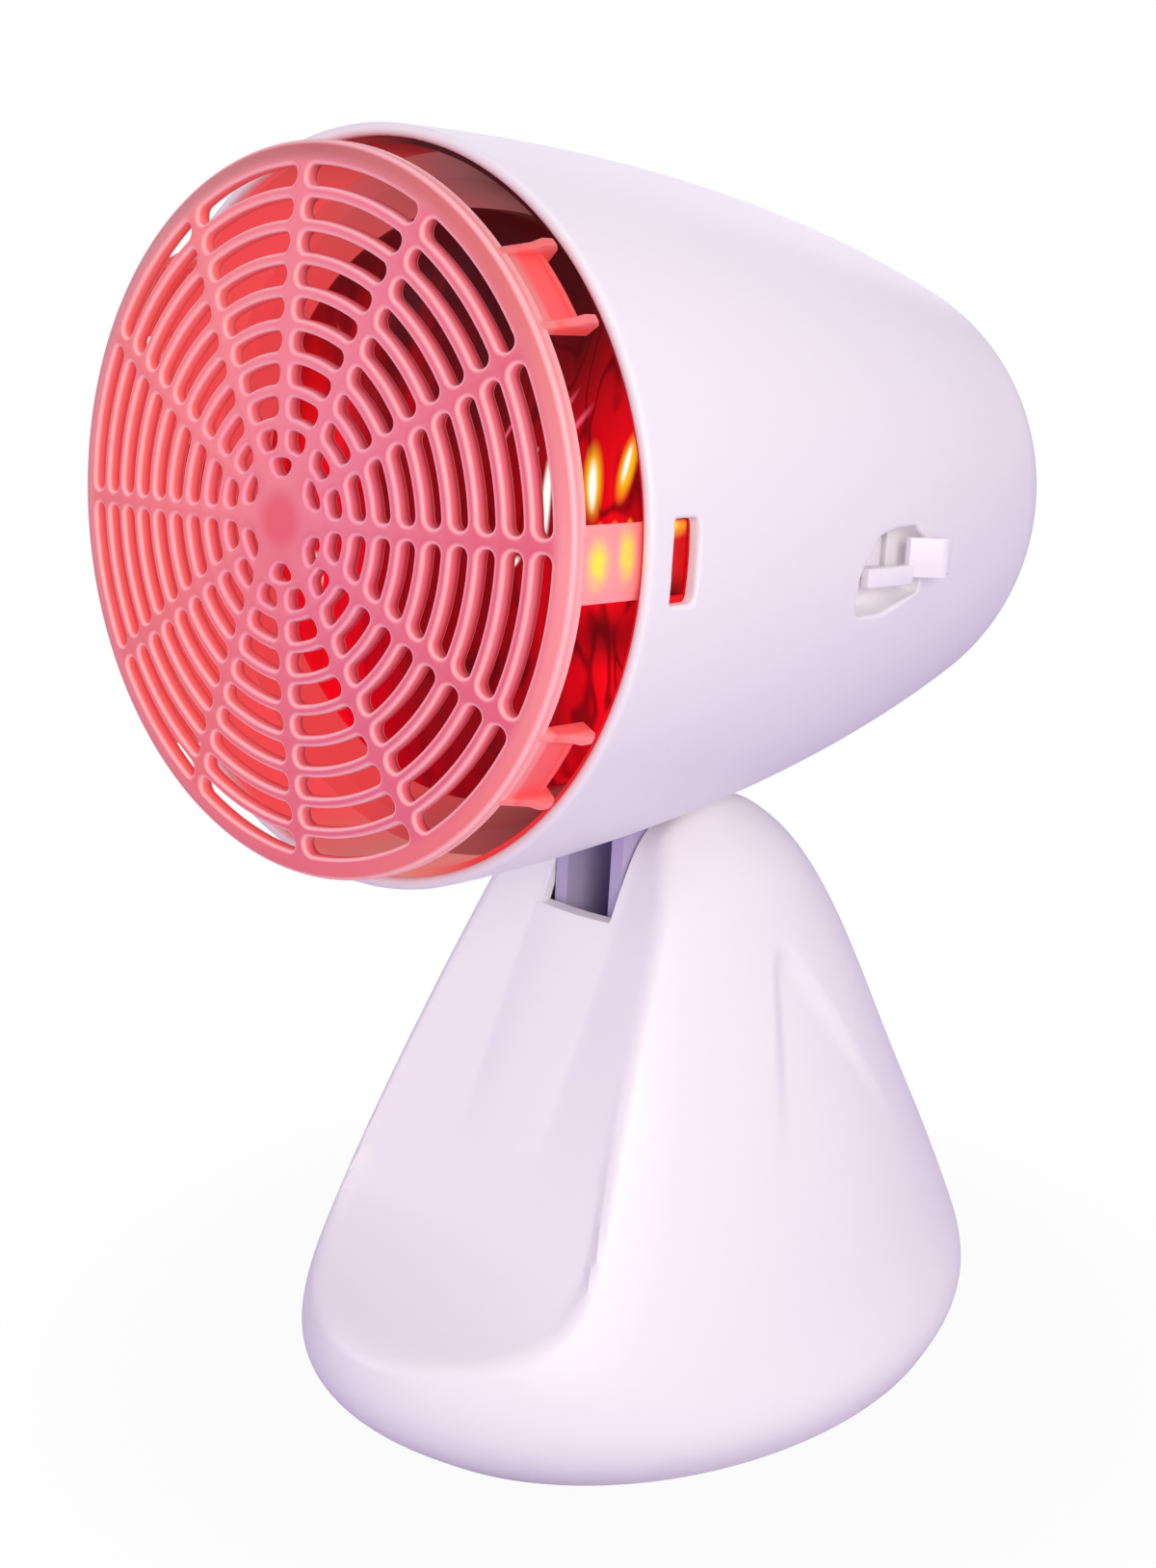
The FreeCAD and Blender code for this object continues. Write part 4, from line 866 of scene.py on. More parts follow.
class GuardGrille:
    """Domed guard: rows of curved slots between twelve spokes, a skirt, two legs and four clips."""

    def __init__(self, sizes: GuardSizes, finish: bpy.types.Material) -> None:
        self.sizes = sizes
        self.finish = finish

    def cell(self, build: Build, inner: float, outer: float, low: float, high: float, half_turn: float,
             corner: float, long_steps: int) -> list[float]:
        """Part of the dome round one slot.

        Args:
            build: Build to add to.
            inner: Least radius of the slot.
            outer: Greatest radius of the slot.
            low: Least radius of the cell.
            high: Greatest radius of the cell.
            half_turn: Half of the cell's angle, in radians.
            corner: Radius of the slot's corners.
            long_steps: Steps along the slot.

        Returns:
            The angles of the points along the cell's inner edge.
        """
        s = self.sizes
        middle = (inner + outer) / 2
        half = (outer - inner) / 2
        gap = (s.spoke if inner > s.hub_outer else s.hub_bar) / 2
        long_half = middle * (half_turn - math.asin(gap / middle))
        corner = min(corner, long_half * 0.9, half * 0.95)

        def spread(reach: float, count: int) -> np.ndarray:
            """Places along one side of the slot, closer together at its corners."""
            flat = np.linspace(-(reach - corner), reach - corner, count + 1)
            ends = corner * np.array((0.3, 0.65, 1.0))
            return np.concatenate([-(reach - corner) - ends[::-1], flat, reach - corner + ends])

        xs, ys = spread(long_half, long_steps), spread(half, 2)
        square = [(x, -half) for x in xs] + [(long_half, y) for y in ys[1:]]
        square += [(x, half) for x in xs[-2::-1]] + [(-long_half, y) for y in ys[-2:0:-1]]
        square = np.array(square)

        def at_offset(grow: float) -> np.ndarray:
            """The slot's outline, moved out by a distance."""
            ring = []
            for x, y in square:
                cx, cy = abs(x) - (long_half - corner), abs(y) - (half - corner)
                if cx > 0 and cy > 0:
                    size = math.hypot(cx, cy)
                    px = (long_half - corner) + cx / size * (corner + grow)
                    py = (half - corner) + cy / size * (corner + grow)
                    ring.append((math.copysign(px, x), math.copysign(py, y)))
                else:
                    on_end = abs(x) >= long_half - 1e-9
                    on_side = abs(y) >= half - 1e-9
                    ring.append((x + math.copysign(grow, x) * on_end, y + math.copysign(grow, y) * on_side))
            return np.array(ring)

        def polar(x: float, y: float) -> tuple[float, float]:
            """Radius and angle of a point of the outline."""
            r = middle + y
            reach = half_turn - math.asin(min(gap / r, 1.0))
            over = max(abs(x) - long_half, 0.0) / r
            return r, math.copysign(min(abs(x), long_half) / long_half * reach + over, x)

        bounds = []
        for x, y in square:
            r = middle + y * (high - middle if y > 0 else middle - low) / half
            bounds.append((r, half_turn * x / long_half))
        soft = min(0.85, 0.88 * min(high - outer, inner - low))
        steps = [(grow * soft, drop, mark) for grow, drop, mark in s.top_edge]
        steps += [(grow, s.wall - rise, mark) for grow, rise, mark in s.under_edge]
        rows = [build.row([self.place(r, a, 0) for r, a in bounds])]
        for grow, drop, mark in steps:
            rows.append(build.row([self.place(*polar(x, y), drop) for x, y in at_offset(grow)], mark))
        rows.append(build.row([self.place(r, a, s.wall) for r, a in bounds]))
        build.chain(rows)
        return [half_turn * x / long_half for x in xs]

    def place(self, radius: float, angle: float, inset: float) -> tuple[float, float, float]:
        """Place on the dome's skin."""
        return radius * math.cos(angle), radius * math.sin(angle), self.sizes.height(radius, inset)

    def sector(self) -> bpy.types.Mesh:
        """One of the twelve sectors, with its slots and rim."""
        s = self.sizes
        build = Build()
        half_turn = math.pi / s.spokes
        rib = (s.pitch - s.slot) / 2
        for row in range(s.rows):
            outer = s.field - row * s.pitch
            inner = outer - s.slot
            low = inner - rib if row < s.rows - 1 else (inner + s.hub_outer) / 2
            steps = max(4, int(outer / 5))
            corner = s.corners[row >= s.wide_rows]
            self.cell(build, inner, outer, low, outer + rib, half_turn, corner, steps)
        angles = np.linspace(-half_turn, half_turn, 17)
        start, edge = s.field + rib, s.edge
        rim = [(start, s.height(start)), (s.radius - edge, s.height(s.radius - edge))]
        rim += arc((s.radius - edge, s.front - edge), edge, 75, 0, 5)
        rim += [(s.radius, s.skirt_back + 0.6), (s.radius - 0.6, s.skirt_back),
                (s.radius - s.skirt_wall + 0.6, s.skirt_back), (s.radius - s.skirt_wall, s.skirt_back + 0.6),
                (s.radius - s.skirt_wall, s.height(s.radius - s.skirt_wall, s.wall) - 0.3),
                (s.radius - s.skirt_wall - 0.5, s.height(s.radius - s.skirt_wall - 0.5, s.wall)),
                (start, s.height(start, s.wall))]
        # Values of the edge attribute on the rim's rows, where the guard's material paints its highlight.
        marks = {3: 0.5, 4: 0.9, 5: 0.9, 6: 0.4, 8: 0.8, 9: 0.8}
        rows = [build.row([(r * math.cos(a), r * math.sin(a), h) for a in angles], marks.get(k, 0.0))
                for k, (r, h) in enumerate(rim)]
        build.chain(rows, closed=False)
        return build.mesh("guard_sector")

    def hub(self) -> bpy.types.Mesh:
        """One of the six sectors of the hub, with its slot and smooth boss."""
        s = self.sizes
        build = Build()
        half_turn = math.pi / s.hub_slots
        high = (s.field - (s.rows - 1) * s.pitch - s.slot + s.hub_outer) / 2
        angles = self.cell(build, s.hub_inner, s.hub_outer, s.boss, high, half_turn, s.hub_corner, 6)
        shares = (0.004, 0.25, 0.5, 0.75, 1.0)
        for inset, order in ((0.0, shares), (s.wall, shares[::-1])):
            rows = [build.row([self.place(s.boss * share, a, inset) for a in angles]) for share in order]
            build.chain(rows, closed=False)
        return build.mesh("guard_hub_sector")

    def turned_slab(self, profile: Sequence[tuple[float, float]], angle: float, span: float, bevel: float,
                    steps: int = 6) -> bpy.types.Mesh:
        """Curved rib: a side view turned through a small span at an angle, with rounded edges."""
        def to_space(radius: float, height: float, turn: float) -> tuple:
            """Place of a point of the side view at an angle."""
            return radius * math.cos(turn), radius * math.sin(turn), height

        middle, half = math.radians(angle), span / 2
        return bevelled(slab(profile, middle - half, middle + half, to_space, steps), "rib", bevel, 3, 28)

    def fittings(self) -> list[bpy.types.Mesh]:
        """The two legs and the four clips with their fins."""
        s = self.sizes
        inner = s.radius - 2
        made = []
        leg = [(inner, s.skirt_back + 1.5), (inner, -s.leg_back), (s.foot, -s.leg_back),
               (s.foot, -s.foot_length), (s.radius, 0.0), (s.radius, s.skirt_back + 1.5)]
        plate = [(inner - 0.2, s.skirt_back + 1), (inner - 0.2, s.clip_low), (s.radius - 0.2, s.clip_low),
                 (s.radius - 0.2, s.skirt_back + 1)]
        low, high = s.clip_rim
        rim = [(inner, high), (inner, low), (s.radius + 0.3, low), (s.radius + 0.3, high)]
        out = s.radius + s.fin_reach
        fin = [(inner, s.skirt_back + 1), (inner, 0.4), (out - 1.2, 0.4), (out, 1.6), (out, 4.2),
               (out - 1.2, 6.4), (s.radius - 0.1, s.front - 1.6)]
        for turn in (0.0, 180.0):
            made.append(self.turned_slab(leg, turn, s.leg_width / s.mouth, 0.5))
            for clip in s.clip_angles:
                span = s.clip_span / s.radius
                made.append(self.turned_slab(plate, turn + clip, span, 0.35))
                made.append(self.turned_slab(rim, turn + clip, span * 0.98, 0.35))
                for way in (-1, 1):
                    at = turn + clip + way * math.degrees(span) / 2
                    made.append(self.turned_slab(fin, at, s.fin_width / s.radius, 0.4, 2))
        return made

    def make(self) -> bpy.types.Object:
        """Make the guard.

        Returns:
            The object that replaces the CAD grille.
        """
        s = self.sizes
        rings = []
        for part, count in ((self.sector(), s.spokes), (self.hub(), s.hub_slots)):
            ring = repeated(part, count, self.finish)
            ring.transform(Matrix.Rotation(math.radians(s.phase) + math.pi / count, 4, "Z"))
            rings.append(ring)
        mesh = join_meshes("guard_grille", rings + self.fittings())
        return piece("guard", mesh, HEAD_PLACE, BodyName.HEAD, Slot.GUARD, self.finish, ["guard_grille"], 50)


# ---------------------------------------------------------------- base


@dataclass(frozen=True)
class BaseSizes:
    """Sizes of the base, in millimetres: height, half width, half length and centre of its ovals."""

    ovals: tuple = ((1, 64, 83, 8.1), (10, 68.5, 91, 5.1), (24, 66, 94, 1.1), (45, 60, 85.5, 0.1),
                    (70, 52.5, 71.5, 1.1), (95, 44, 57.5, 3.1), (115, 36.5, 45, 4.1), (130, 29, 32, 4.1),
                    (142, 17, 18.5, 4.1))
    wall: float = 2.5
    pivot: tuple[float, float] = (6.1, 110.0)
    sweep_radius: float = 68.25
    sweep_rise: float = 98.0
    sweep_front: float = 72.0
    sweep_back: float = 36.0
    scoop_top: tuple[float, float] = (-21.9, 118.0)
    scoop_slope: float = 62.0
    scoop_knee: float = 57.0
    scoop_hollow: float = 42.0
    scoop_heel: tuple[float, float] = (-80.9, 36.0)
    scoop_exit: float = 15.0
    scoop_half_top: float = 22.0
    tongue_half: float = 12.5
    tongue_swell: float = 1.3
    wing_slope: float = 0.18
    scoop_half_bottom: float = 39.0
    scoop_side_end: float = 47.0
    scoop_bottom: float = 31.0
    dimple_depth: float = 2.3
    dimple_top: float = 113.0
    dimple_front: tuple[float, float] = (2.5, 0.34)
    dimple_back: tuple[float, float] = (6.5, 0.6)
    slot_half: float = 10.6
    slot_floor: float = 116.8
    slot_back: float = 32.6
    head_blend: float = 2.2
    scoop_blend: float = 2.6
    outline_blend: float = 18.0
    edge_blend: float = 3.0
    ray: float = 112.0
    columns: int = 384
    clear: float = 160.0


def smooth_max(first: np.ndarray, second: np.ndarray, width: float) -> np.ndarray:
    """Greater of two fields, blended where they are within a width of each other."""
    share = np.clip(0.5 + 0.5 * (first - second) / width, 0, 1)
    return second + (first - second) * share + width * share * (1 - share)


def smooth_step(value: np.ndarray, low: float, high: float) -> np.ndarray:
    """Smooth rise from 0 to 1 between two values."""
    share = np.clip((value - low) / (high - low), 0, 1)
    return share * share * (3 - 2 * share)


class Spline:
    """Natural cubic spline through points."""

    def __init__(self, places: Sequence[float], values: Sequence[float]) -> None:
        self.x, self.y = np.array(places, float), np.array(values, float)
        h = np.diff(self.x)
        count = len(self.x)
        system, side = np.eye(count), np.zeros(count)
        for k in range(1, count - 1):
            system[k, k - 1:k + 2] = h[k - 1], 2 * (h[k - 1] + h[k]), h[k]
            side[k] = 6 * ((self.y[k + 1] - self.y[k]) / h[k] - (self.y[k] - self.y[k - 1]) / h[k - 1])
        self.bend = np.linalg.solve(system, side)

    def __call__(self, at: np.ndarray) -> np.ndarray:
        """Values at some places."""
        k = np.clip(np.searchsorted(self.x, at) - 1, 0, len(self.x) - 2)
        h = self.x[k + 1] - self.x[k]
        a, b = (self.x[k + 1] - at) / h, (at - self.x[k]) / h
        curve = ((a ** 3 - a) * self.bend[k] + (b ** 3 - b) * self.bend[k + 1]) * h ** 2 / 6
        return a * self.y[k] + b * self.y[k + 1] + curve


class BaseShell:
    """Cone-like stand: an oval loft with a hollow down its front and the head's space in its top."""

    def __init__(self, sizes: BaseSizes, finish: bpy.types.Material) -> None:
        self.sizes = sizes
        self.finish = finish
        heights, widths, lengths, middles = zip(*sizes.ovals)
        self.width = Spline(heights, widths)
        self.length = Spline(heights, lengths)
        self.middle = Spline(heights, middles)
        self.scoop_line = self.scoop_profile()

    def scoop_profile(self) -> tuple[np.ndarray, np.ndarray]:
        """Heights and the scoop surface's Y at each of them, in the middle of the front."""
        s = self.sizes
        slope = math.tan(math.radians(s.scoop_slope))
        top_y, top_z = s.scoop_top
        knee = np.array([top_y - (top_z - s.scoop_knee) / slope, s.scoop_knee])
        heel = np.array(s.scoop_heel)
        half = (heel - knee) / 2
        across = np.array([-half[1], half[0]]) / np.hypot(*half)
        rise = math.sqrt(s.scoop_hollow ** 2 - half @ half)
        centre = knee + half + (across if across[1] > 0 else -across) * rise
        start, end = (math.atan2(*(p - centre)[::-1]) for p in (knee, heel))
        turns = np.linspace(start, end, 40)
        bend = centre + s.scoop_hollow * np.column_stack([np.cos(turns), np.sin(turns)])
        low = heel + np.array([-50.0, -50.0 * math.tan(math.radians(s.scoop_exit))])
        high = np.array([top_y + (s.clear - top_z) / slope, s.clear])
        line = np.vstack([high, bend, low])[::-1]
        return line[:, 1], line[:, 0]

    def field(self, p: np.ndarray, inset: float = 0.0) -> np.ndarray:
        """Signed field of the solid, negative inside, near the distance at its surface.

        Args:
            p: Places, as rows of X, Y and Z.
            inset: Distance that the form is set in.

        Returns:
            The field at each place.
        """
        s = self.sizes
        x, y, z = np.moveaxis(p, -1, 0)
        a, b = self.width(z), self.length(z)
        y0 = y - self.middle(z)
        ratio = np.sqrt((x / a) ** 2 + (y0 / b) ** 2) + 1e-9
        body = (ratio - 1) * ratio / (np.sqrt(x ** 2 / a ** 4 + y0 ** 2 / b ** 4) + 1e-9)
        body = np.minimum(body, 60) + self.dimple(x, y, z)
        body = smooth_max(body + inset, self.head_space(x, y, z) + inset, s.head_blend)
        return smooth_max(body, self.scoop(x, y, z) + inset, s.scoop_blend)

    def head_space(self, x: np.ndarray, y: np.ndarray, z: np.ndarray) -> np.ndarray:
        """Depth into the space that the head sweeps."""
        s = self.sizes
        dy, dz = y - s.pivot[0], z - s.pivot[1]
        ring = np.hypot(np.hypot(dy, dz) - s.sweep_rise, x)
        back = math.radians(s.sweep_back)
        along = dy * math.cos(back) - dz * math.sin(back)
        up = dy * math.sin(back) + dz * math.cos(back)
        bar = np.hypot(up - s.sweep_rise, x)
        depth = s.sweep_radius - np.where(along > 0, bar, ring)
        front = math.radians(s.sweep_front)
        return np.minimum(depth, dy * math.cos(front) + dz * math.sin(front))

    def scoop(self, x: np.ndarray, y: np.ndarray, z: np.ndarray) -> np.ndarray:
        """Depth into the space in front of the scoop."""
        s = self.sizes
        heights, places = self.scoop_line
        face = np.interp(z, heights, places)
        step = 0.5
        lean = (np.interp(z + step, heights, places) - np.interp(z - step, heights, places)) / (2 * step)
        outward = abs(x) - s.tongue_half
        wings = (np.sqrt(outward ** 2 + 3.0) + outward) / 2 * s.wing_slope * smooth_step(z, 38, 94)
        swell = s.tongue_swell * np.maximum(1 - (x / s.tongue_half) ** 2, 0) * smooth_step(z, 54, 84)
        depth = (face - wings - swell - y) / np.sqrt(1 + lean ** 2)
        above = smooth_max(z - s.scoop_side_end, np.zeros_like(z), s.outline_blend)
        share = np.clip(above / (150 - s.scoop_side_end), 0, 1)
        half = s.scoop_half_bottom + (s.scoop_half_top - s.scoop_half_bottom) * share
        outline = smooth_max(abs(x) - half, s.scoop_bottom - z, s.outline_blend)
        return -smooth_max(-depth, outline, s.edge_blend)

    def dimple(self, x: np.ndarray, y: np.ndarray, z: np.ndarray) -> np.ndarray:
        """Depth of the drop-shaped recess in each side."""
        s = self.sizes
        drop = s.dimple_top - z
        (front, front_slope), (back, back_slope) = s.dimple_front, s.dimple_back
        edge = smooth_max(front - drop * front_slope - y, y - back - drop * back_slope, 5.0)
        edge = smooth_max(edge, 1.0 - drop, 6.0)
        inside = 1 - smooth_step(edge, -5.5, 0.8)
        return s.dimple_depth * inside * smooth_step(z, 56, 100) * smooth_step(abs(x), 14, 22)

    def hit(self, start: np.ndarray, way: np.ndarray, inset: float) -> np.ndarray:
        """Places where rays leave the solid.

        Args:
            start: Start of each ray, inside.
            way: Unit direction of each ray.
            inset: Distance that the form is set in.

        Returns:
            The places.
        """
        longest = self.sizes.ray
        near, far = np.zeros(start.shape[:-1]), np.full(start.shape[:-1], longest)
        # The outer skin shows, so its rays take finer steps and miss no thin edge.
        steps = np.linspace(0, longest, 260 if inset == 0 else 90)
        found = np.zeros(near.shape, bool)
        for before, after in zip(steps, steps[1:]):
            outside = self.field(start + way * after, inset) > 0
            fresh = outside & ~found
            near, far = np.where(fresh, before, near), np.where(fresh, after, far)
            found |= outside
        for _ in range(26):
            middle = (near + far) / 2
            outside = self.field(start + way * middle[..., None], inset) > 0
            near, far = np.where(outside, near, middle), np.where(outside, middle, far)
        return start + way * ((near + far) / 2)[..., None]

    def skin(self, build: Build, levels: np.ndarray, tops: int, inset: float) -> list:
        """Rows of one skin, from the bottom to the top.

        Args:
            build: Build to add to.
            levels: Heights of the level rows.
            tops: Rows above them.
            inset: Distance that the form is set in.

        Returns:
            The rows.
        """
        s = self.sizes
        # The small turn keeps every column off the slot's flat walls.
        angles = np.linspace(0, 2 * math.pi, s.columns, endpoint=False) + 0.004
        flat = np.column_stack([np.cos(angles), np.sin(angles), np.zeros(s.columns)])
        rows = []
        for level in levels:
            start = np.broadcast_to(np.array([0, s.pivot[0], level]), flat.shape)
            rows.append(build.row(self.hit(start, flat, inset)))
        top = levels[-1]
        for rise in np.radians(np.linspace(0, 90, tops + 1)[1:-1]):
            way = flat * math.cos(rise) + np.array([0, 0, math.sin(rise)])
            start = np.broadcast_to(np.array([0, s.pivot[0], top]), flat.shape)
            rows.append(build.row(self.hit(start, way, inset)))
        return rows

    def make(self) -> bpy.types.Object:
        """Make the shell.

        Returns:
            The object that replaces the CAD shell.
        """
        build = Build()
        # Rows lie closer together where the scoop ends.
        runs = ((1, 28, 19), (28.6, 42, 28), (43.4, 112, 50))
        outer = self.skin(build, np.concatenate([np.linspace(*run) for run in runs]), 34, 0.0)
        build.chain(outer)
        build.lid(outer[-1])
        inner = self.skin(build, np.linspace(1, 108, 30), 12, self.sizes.wall)
        build.chain(inner)
        build.lid(inner[-1])
        build.join(outer[0], inner[0])
        mesh = tidy(build.mesh("base_shell"))
        self.cut_slot(mesh)
        return piece("shell_of_base", mesh, BASE_PLACE, BodyName.BASE, Slot.SHELL, self.finish,
                     ["base_shell"], 40)

    def cut_slot(self, mesh: bpy.types.Mesh) -> None:
        """Cut the neck's slot through the top of the shell, in place."""
        s = self.sizes
        box = Build()
        corners = ((-s.slot_half, -90), (s.slot_half, -90), (s.slot_half, s.slot_back),
                   (-s.slot_half, s.slot_back))
        rows = [box.row([(x, y, z) for x, y in corners]) for z in (s.slot_floor, s.clear)]
        box.chain(rows)
        box.lid(rows[0])
        box.lid(rows[1])
        scene = bpy.context.scene.collection.objects
        tool = bpy.data.objects.new("slot_tool", tidy(box.mesh("slot_tool")))
        work = bpy.data.objects.new("slot_work", mesh)
        scene.link(tool)
        scene.link(work)
        change = work.modifiers.new("slot", "BOOLEAN")
        change.operation, change.solver, change.object = "DIFFERENCE", "EXACT", tool
        bpy.context.view_layer.update()
        shown = work.evaluated_get(bpy.context.evaluated_depsgraph_get())
        result = bpy.data.meshes.new_from_object(shown)
        work.modifiers.remove(change)
        carrier = bmesh.new()
        carrier.from_mesh(result)
        carrier.to_mesh(mesh)
        carrier.free()
        bpy.data.objects.remove(tool)
        bpy.data.objects.remove(work)


# ---------------------------------------------------------------- lever


@dataclass(frozen=True)
class LeverSizes:
    """Sizes of the switch lever, in millimetres. Depths run back from the mouth."""

    top: float = 1.2
    bottom: float = -9.2
    back: float = 86.0
    pin_depth: float = 58.5
    hub: float = 3.4
    neck: float = 61.2
    plate_front: float = 85.6
    plate_rear: float = 90.0
    ramp_start: float = 93.0
    ramp_end: float = 99.0
    tab_rear: float = 103.0
    tab_outer: float = 71.4
    tab_wall: float = 1.9
    tongue_front: float = 79.0
    tongue_level: float = 64.2
    tongue_wall: float = 2.4
    tongue_height: float = 4.2


class SwitchLever:
    """Rocker lever: a tongue in the dish, a plate on its pin and a finger tab behind."""

    def __init__(self, sizes: LeverSizes, finish: bpy.types.Material) -> None:
        self.sizes = sizes
        self.finish = finish

    def make(self) -> bpy.types.Object:
        """Make the lever.

        Returns:
            The object that replaces the CAD lever.
        """
        s = self.sizes
        hub = [(s.pin_depth - s.hub, -s.back - s.hub), (s.neck, -s.plate_rear), (s.neck, -s.plate_front),
               (s.pin_depth - s.hub, -s.back + s.hub)]
        low, high = s.bottom - 1.4, s.bottom - 1.4 + s.tongue_height
        face, inner = s.tongue_level + s.tongue_wall, s.tongue_level
        web = [(s.neck - 1, -s.plate_rear), (inner + 1, -s.plate_rear), (inner + 1, -s.plate_front),
               (s.neck - 1, -s.plate_front)]
        tongue = [(inner, -s.ramp_start - 1), (face + 0.6, -s.ramp_start - 1), (face, -s.tongue_front),
                  (inner, -s.tongue_front)]
        ramp = [(inner + 0.9, -s.ramp_start), (s.tab_outer - s.tab_wall - 0.4, -s.ramp_end + 0.8),
                (s.tab_outer - s.tab_wall - 0.7, -s.ramp_end - 1), (s.tab_outer - 0.1, -s.ramp_end - 1),
                (s.tab_outer - 0.2, -s.ramp_end + 0.4), (face - 0.2, -s.ramp_start)]
        tab = [(s.tab_outer - s.tab_wall - 0.6, -s.ramp_end), (s.tab_outer - s.tab_wall - 1.1, -s.tab_rear),
               (s.tab_outer - 1.1, -s.tab_rear), (s.tab_outer - 0.5, -s.ramp_end)]
        # Side view, first and last level and bevel of each part of the moulding.
        parts = [(hub, s.bottom, s.top - 2.0, 0.4), (web, s.bottom, high - 0.4, 0.3),
                 (tongue, low, high, 0.55),
                 (rounded(ramp, [0, 1.2, 0.3, 0.3, 2.4, 0], 5), low + 1.6, s.top - 1.8, 1.0),
                 (tab, low + 1.9, s.top - 2.1, 0.9)]
        made = [bevelled(slab(view, start, end, along_y), "part", bevel, 3, 50)
                for view, start, end, bevel in parts]
        mesh = join_meshes("switch_lever", made)
        return piece("rocker", mesh, HEAD_PLACE, BodyName.LEVER, Slot.LEVER, self.finish,
                     ["switch_lever"], 45)


# ---------------------------------------------------------------- bulb, liner and neck


@dataclass(frozen=True)
class BulbSizes:
    """Sizes of the reflector bulb, in millimetres. Depths run back from the mouth."""

    radius: float = 60.5
    front: float = 15.0
    crown: float = 11.0
    rim: float = 6.5
    lens_wall: float = 3.0
    wall: float = 2.0
    side: float = 100.0
    neck: float = 14.5
    length: float = 99.5


class Bulb:
    """Reflector bulb: a ruby lens in front of a silvered bowl."""

    def __init__(self, sizes: BulbSizes, ruby: bpy.types.Material, silver: bpy.types.Material) -> None:
        self.sizes = sizes
        self.ruby = ruby
        self.silver = silver

    def lens(self) -> bpy.types.Object:
        """Make the lens.

        Returns:
            The object that replaces the CAD lens.
        """
        s = self.sizes
        ball = (s.radius ** 2 + s.crown ** 2) / (2 * s.crown)
        radii = np.linspace(0.02, s.radius - 1.2, 46)
        front = [(r, -s.front - ball + math.sqrt(ball ** 2 - r ** 2)) for r in radii]
        edge = -s.front - s.crown
        front += arc((s.radius - 1.6, edge - 1.3), 1.6, 62, 0, 4)
        seam = edge - s.rim
        inner = s.radius - s.lens_wall
        back = [(s.radius, seam), (inner, seam), (inner, edge)]
        back += [(r, -s.front - s.lens_wall - ball + math.sqrt(ball ** 2 - r ** 2)) for r in radii[::-3]
                 if r < inner - 1]
        made = turned(front + back, 144, closed=False)
        mesh = tidy(made.mesh("bulb_lens"), 0.005)
        return piece("lens", mesh, HEAD_PLACE, BodyName.HEAD, Slot.RUBY, self.ruby,
                     ["bulb_lens"], 60)

    def bowl(self) -> bpy.types.Object:
        """Make the silvered bowl.

        Returns:
            The object that replaces the CAD reflector.
        """
        s = self.sizes
        seam = s.front + s.crown + s.rim
        end = s.front + s.length
        shoulder = end - s.neck
        start, stop = Vector((s.radius, -seam)), Vector((s.neck, -shoulder))
        middle = (start + stop) / 2
        across = (stop - start).orthogonal().normalized()
        reach = math.sqrt(s.side ** 2 - (stop - start).length_squared / 4)
        centre = middle + across * (reach if across.x < 0 else -reach)
        first, last = (math.degrees(math.atan2(p.y - centre.y, p.x - centre.x)) for p in (start, stop))
        outer = arc(tuple(centre), s.side, first, last, 30) + [(s.neck, -end)]
        inner = [(s.neck - s.wall, -end)] + arc(tuple(centre), s.side - s.wall, last, first, 30)
        mesh = tidy(turned(outer + inner, 96).mesh("bulb_reflector"))
        return piece("bowl", mesh, HEAD_PLACE, BodyName.HEAD, Slot.SILVER, self.silver,
                     ["bulb_reflector"], 40)


@dataclass(frozen=True)
class LinerSizes:
    """Sizes of the mouth liner, in millimetres. Depths run back from the mouth."""

    front: float = 1.6
    lip: float = 2.2
    middle: float = 17.0
    rear: float = 20.9
    gap: float = 0.12
    depth: float = 1.1
    window_margin: float = 0.8


class MouthLiner:
    """Red ring inside the mouth, open at the side windows."""

    def __init__(self, sizes: LinerSizes, head: HeadSizes, finish: bpy.types.Material) -> None:
        self.sizes = sizes
        self.head = head
        self.finish = finish

    def make(self) -> bpy.types.Object:
        """Make the liner.

        Returns:
            The object that replaces the CAD liner.
        """
        s, h = self.sizes, self.head
        low = h.window_back - h.window_length / 2 - s.window_margin
        high = h.window_back + h.window_length / 2 + s.window_margin
        tall = h.window_height / 2 + s.window_margin
        reach = math.asin(tall / (h.mouth - h.wall))
        sides = np.linspace(reach, math.pi - reach, 78)
        angles = np.concatenate([np.linspace(-reach, reach, 10)[:-1], sides[:-1],
                                 np.linspace(math.pi - reach, math.pi + reach, 10)[:-1],
                                 sides[:-1] + math.pi])
        backs = [s.front, s.lip, low, (low + high) / 2, high, s.middle, s.rear]
        build = Build()
        skins = []
        for inset in (h.wall + s.gap, h.wall + s.depth):
            radii = [h.radius(b) - inset for b in backs]
            skins.append([build.row([(r * math.cos(a), r * math.sin(a), -b) for a in angles])
                          for r, b in zip(radii, backs)])
        shut = [not (abs(math.sin(a + 1e-4)) * (h.mouth - h.wall) < tall - 0.01) for a in angles]
        count = len(angles)
        for r, (first, second) in enumerate(zip(backs, backs[1:])):
            open_row = first >= low - 0.01 and second <= high + 0.01
            for skin in skins:
                faces = quads_between(skin[r], skin[r + 1])
                build.faces.extend(f for c, f in enumerate(faces) if shut[c] or not open_row)
        build.join(skins[0][0], skins[1][0])
        build.join(skins[0][-1], skins[1][-1])
        for r, back in enumerate(backs):
            if back in (low, high):
                faces = quads_between(skins[0][r], skins[1][r])
                build.faces.extend(f for c, f in enumerate(faces) if not shut[c])
        for c in range(count):
            if shut[c] != shut[c - 1]:
                for r in (2, 3):
                    (a, b), (d, e) = ([skin[r][c], skin[r + 1][c]] for skin in skins)
                    build.faces.append((a, b, e, d))
        mesh = tidy(build.mesh("mouth_liner"))
        return piece("liner", mesh, HEAD_PLACE, BodyName.HEAD, Slot.LINER, self.finish, ["mouth_liner"], 40)


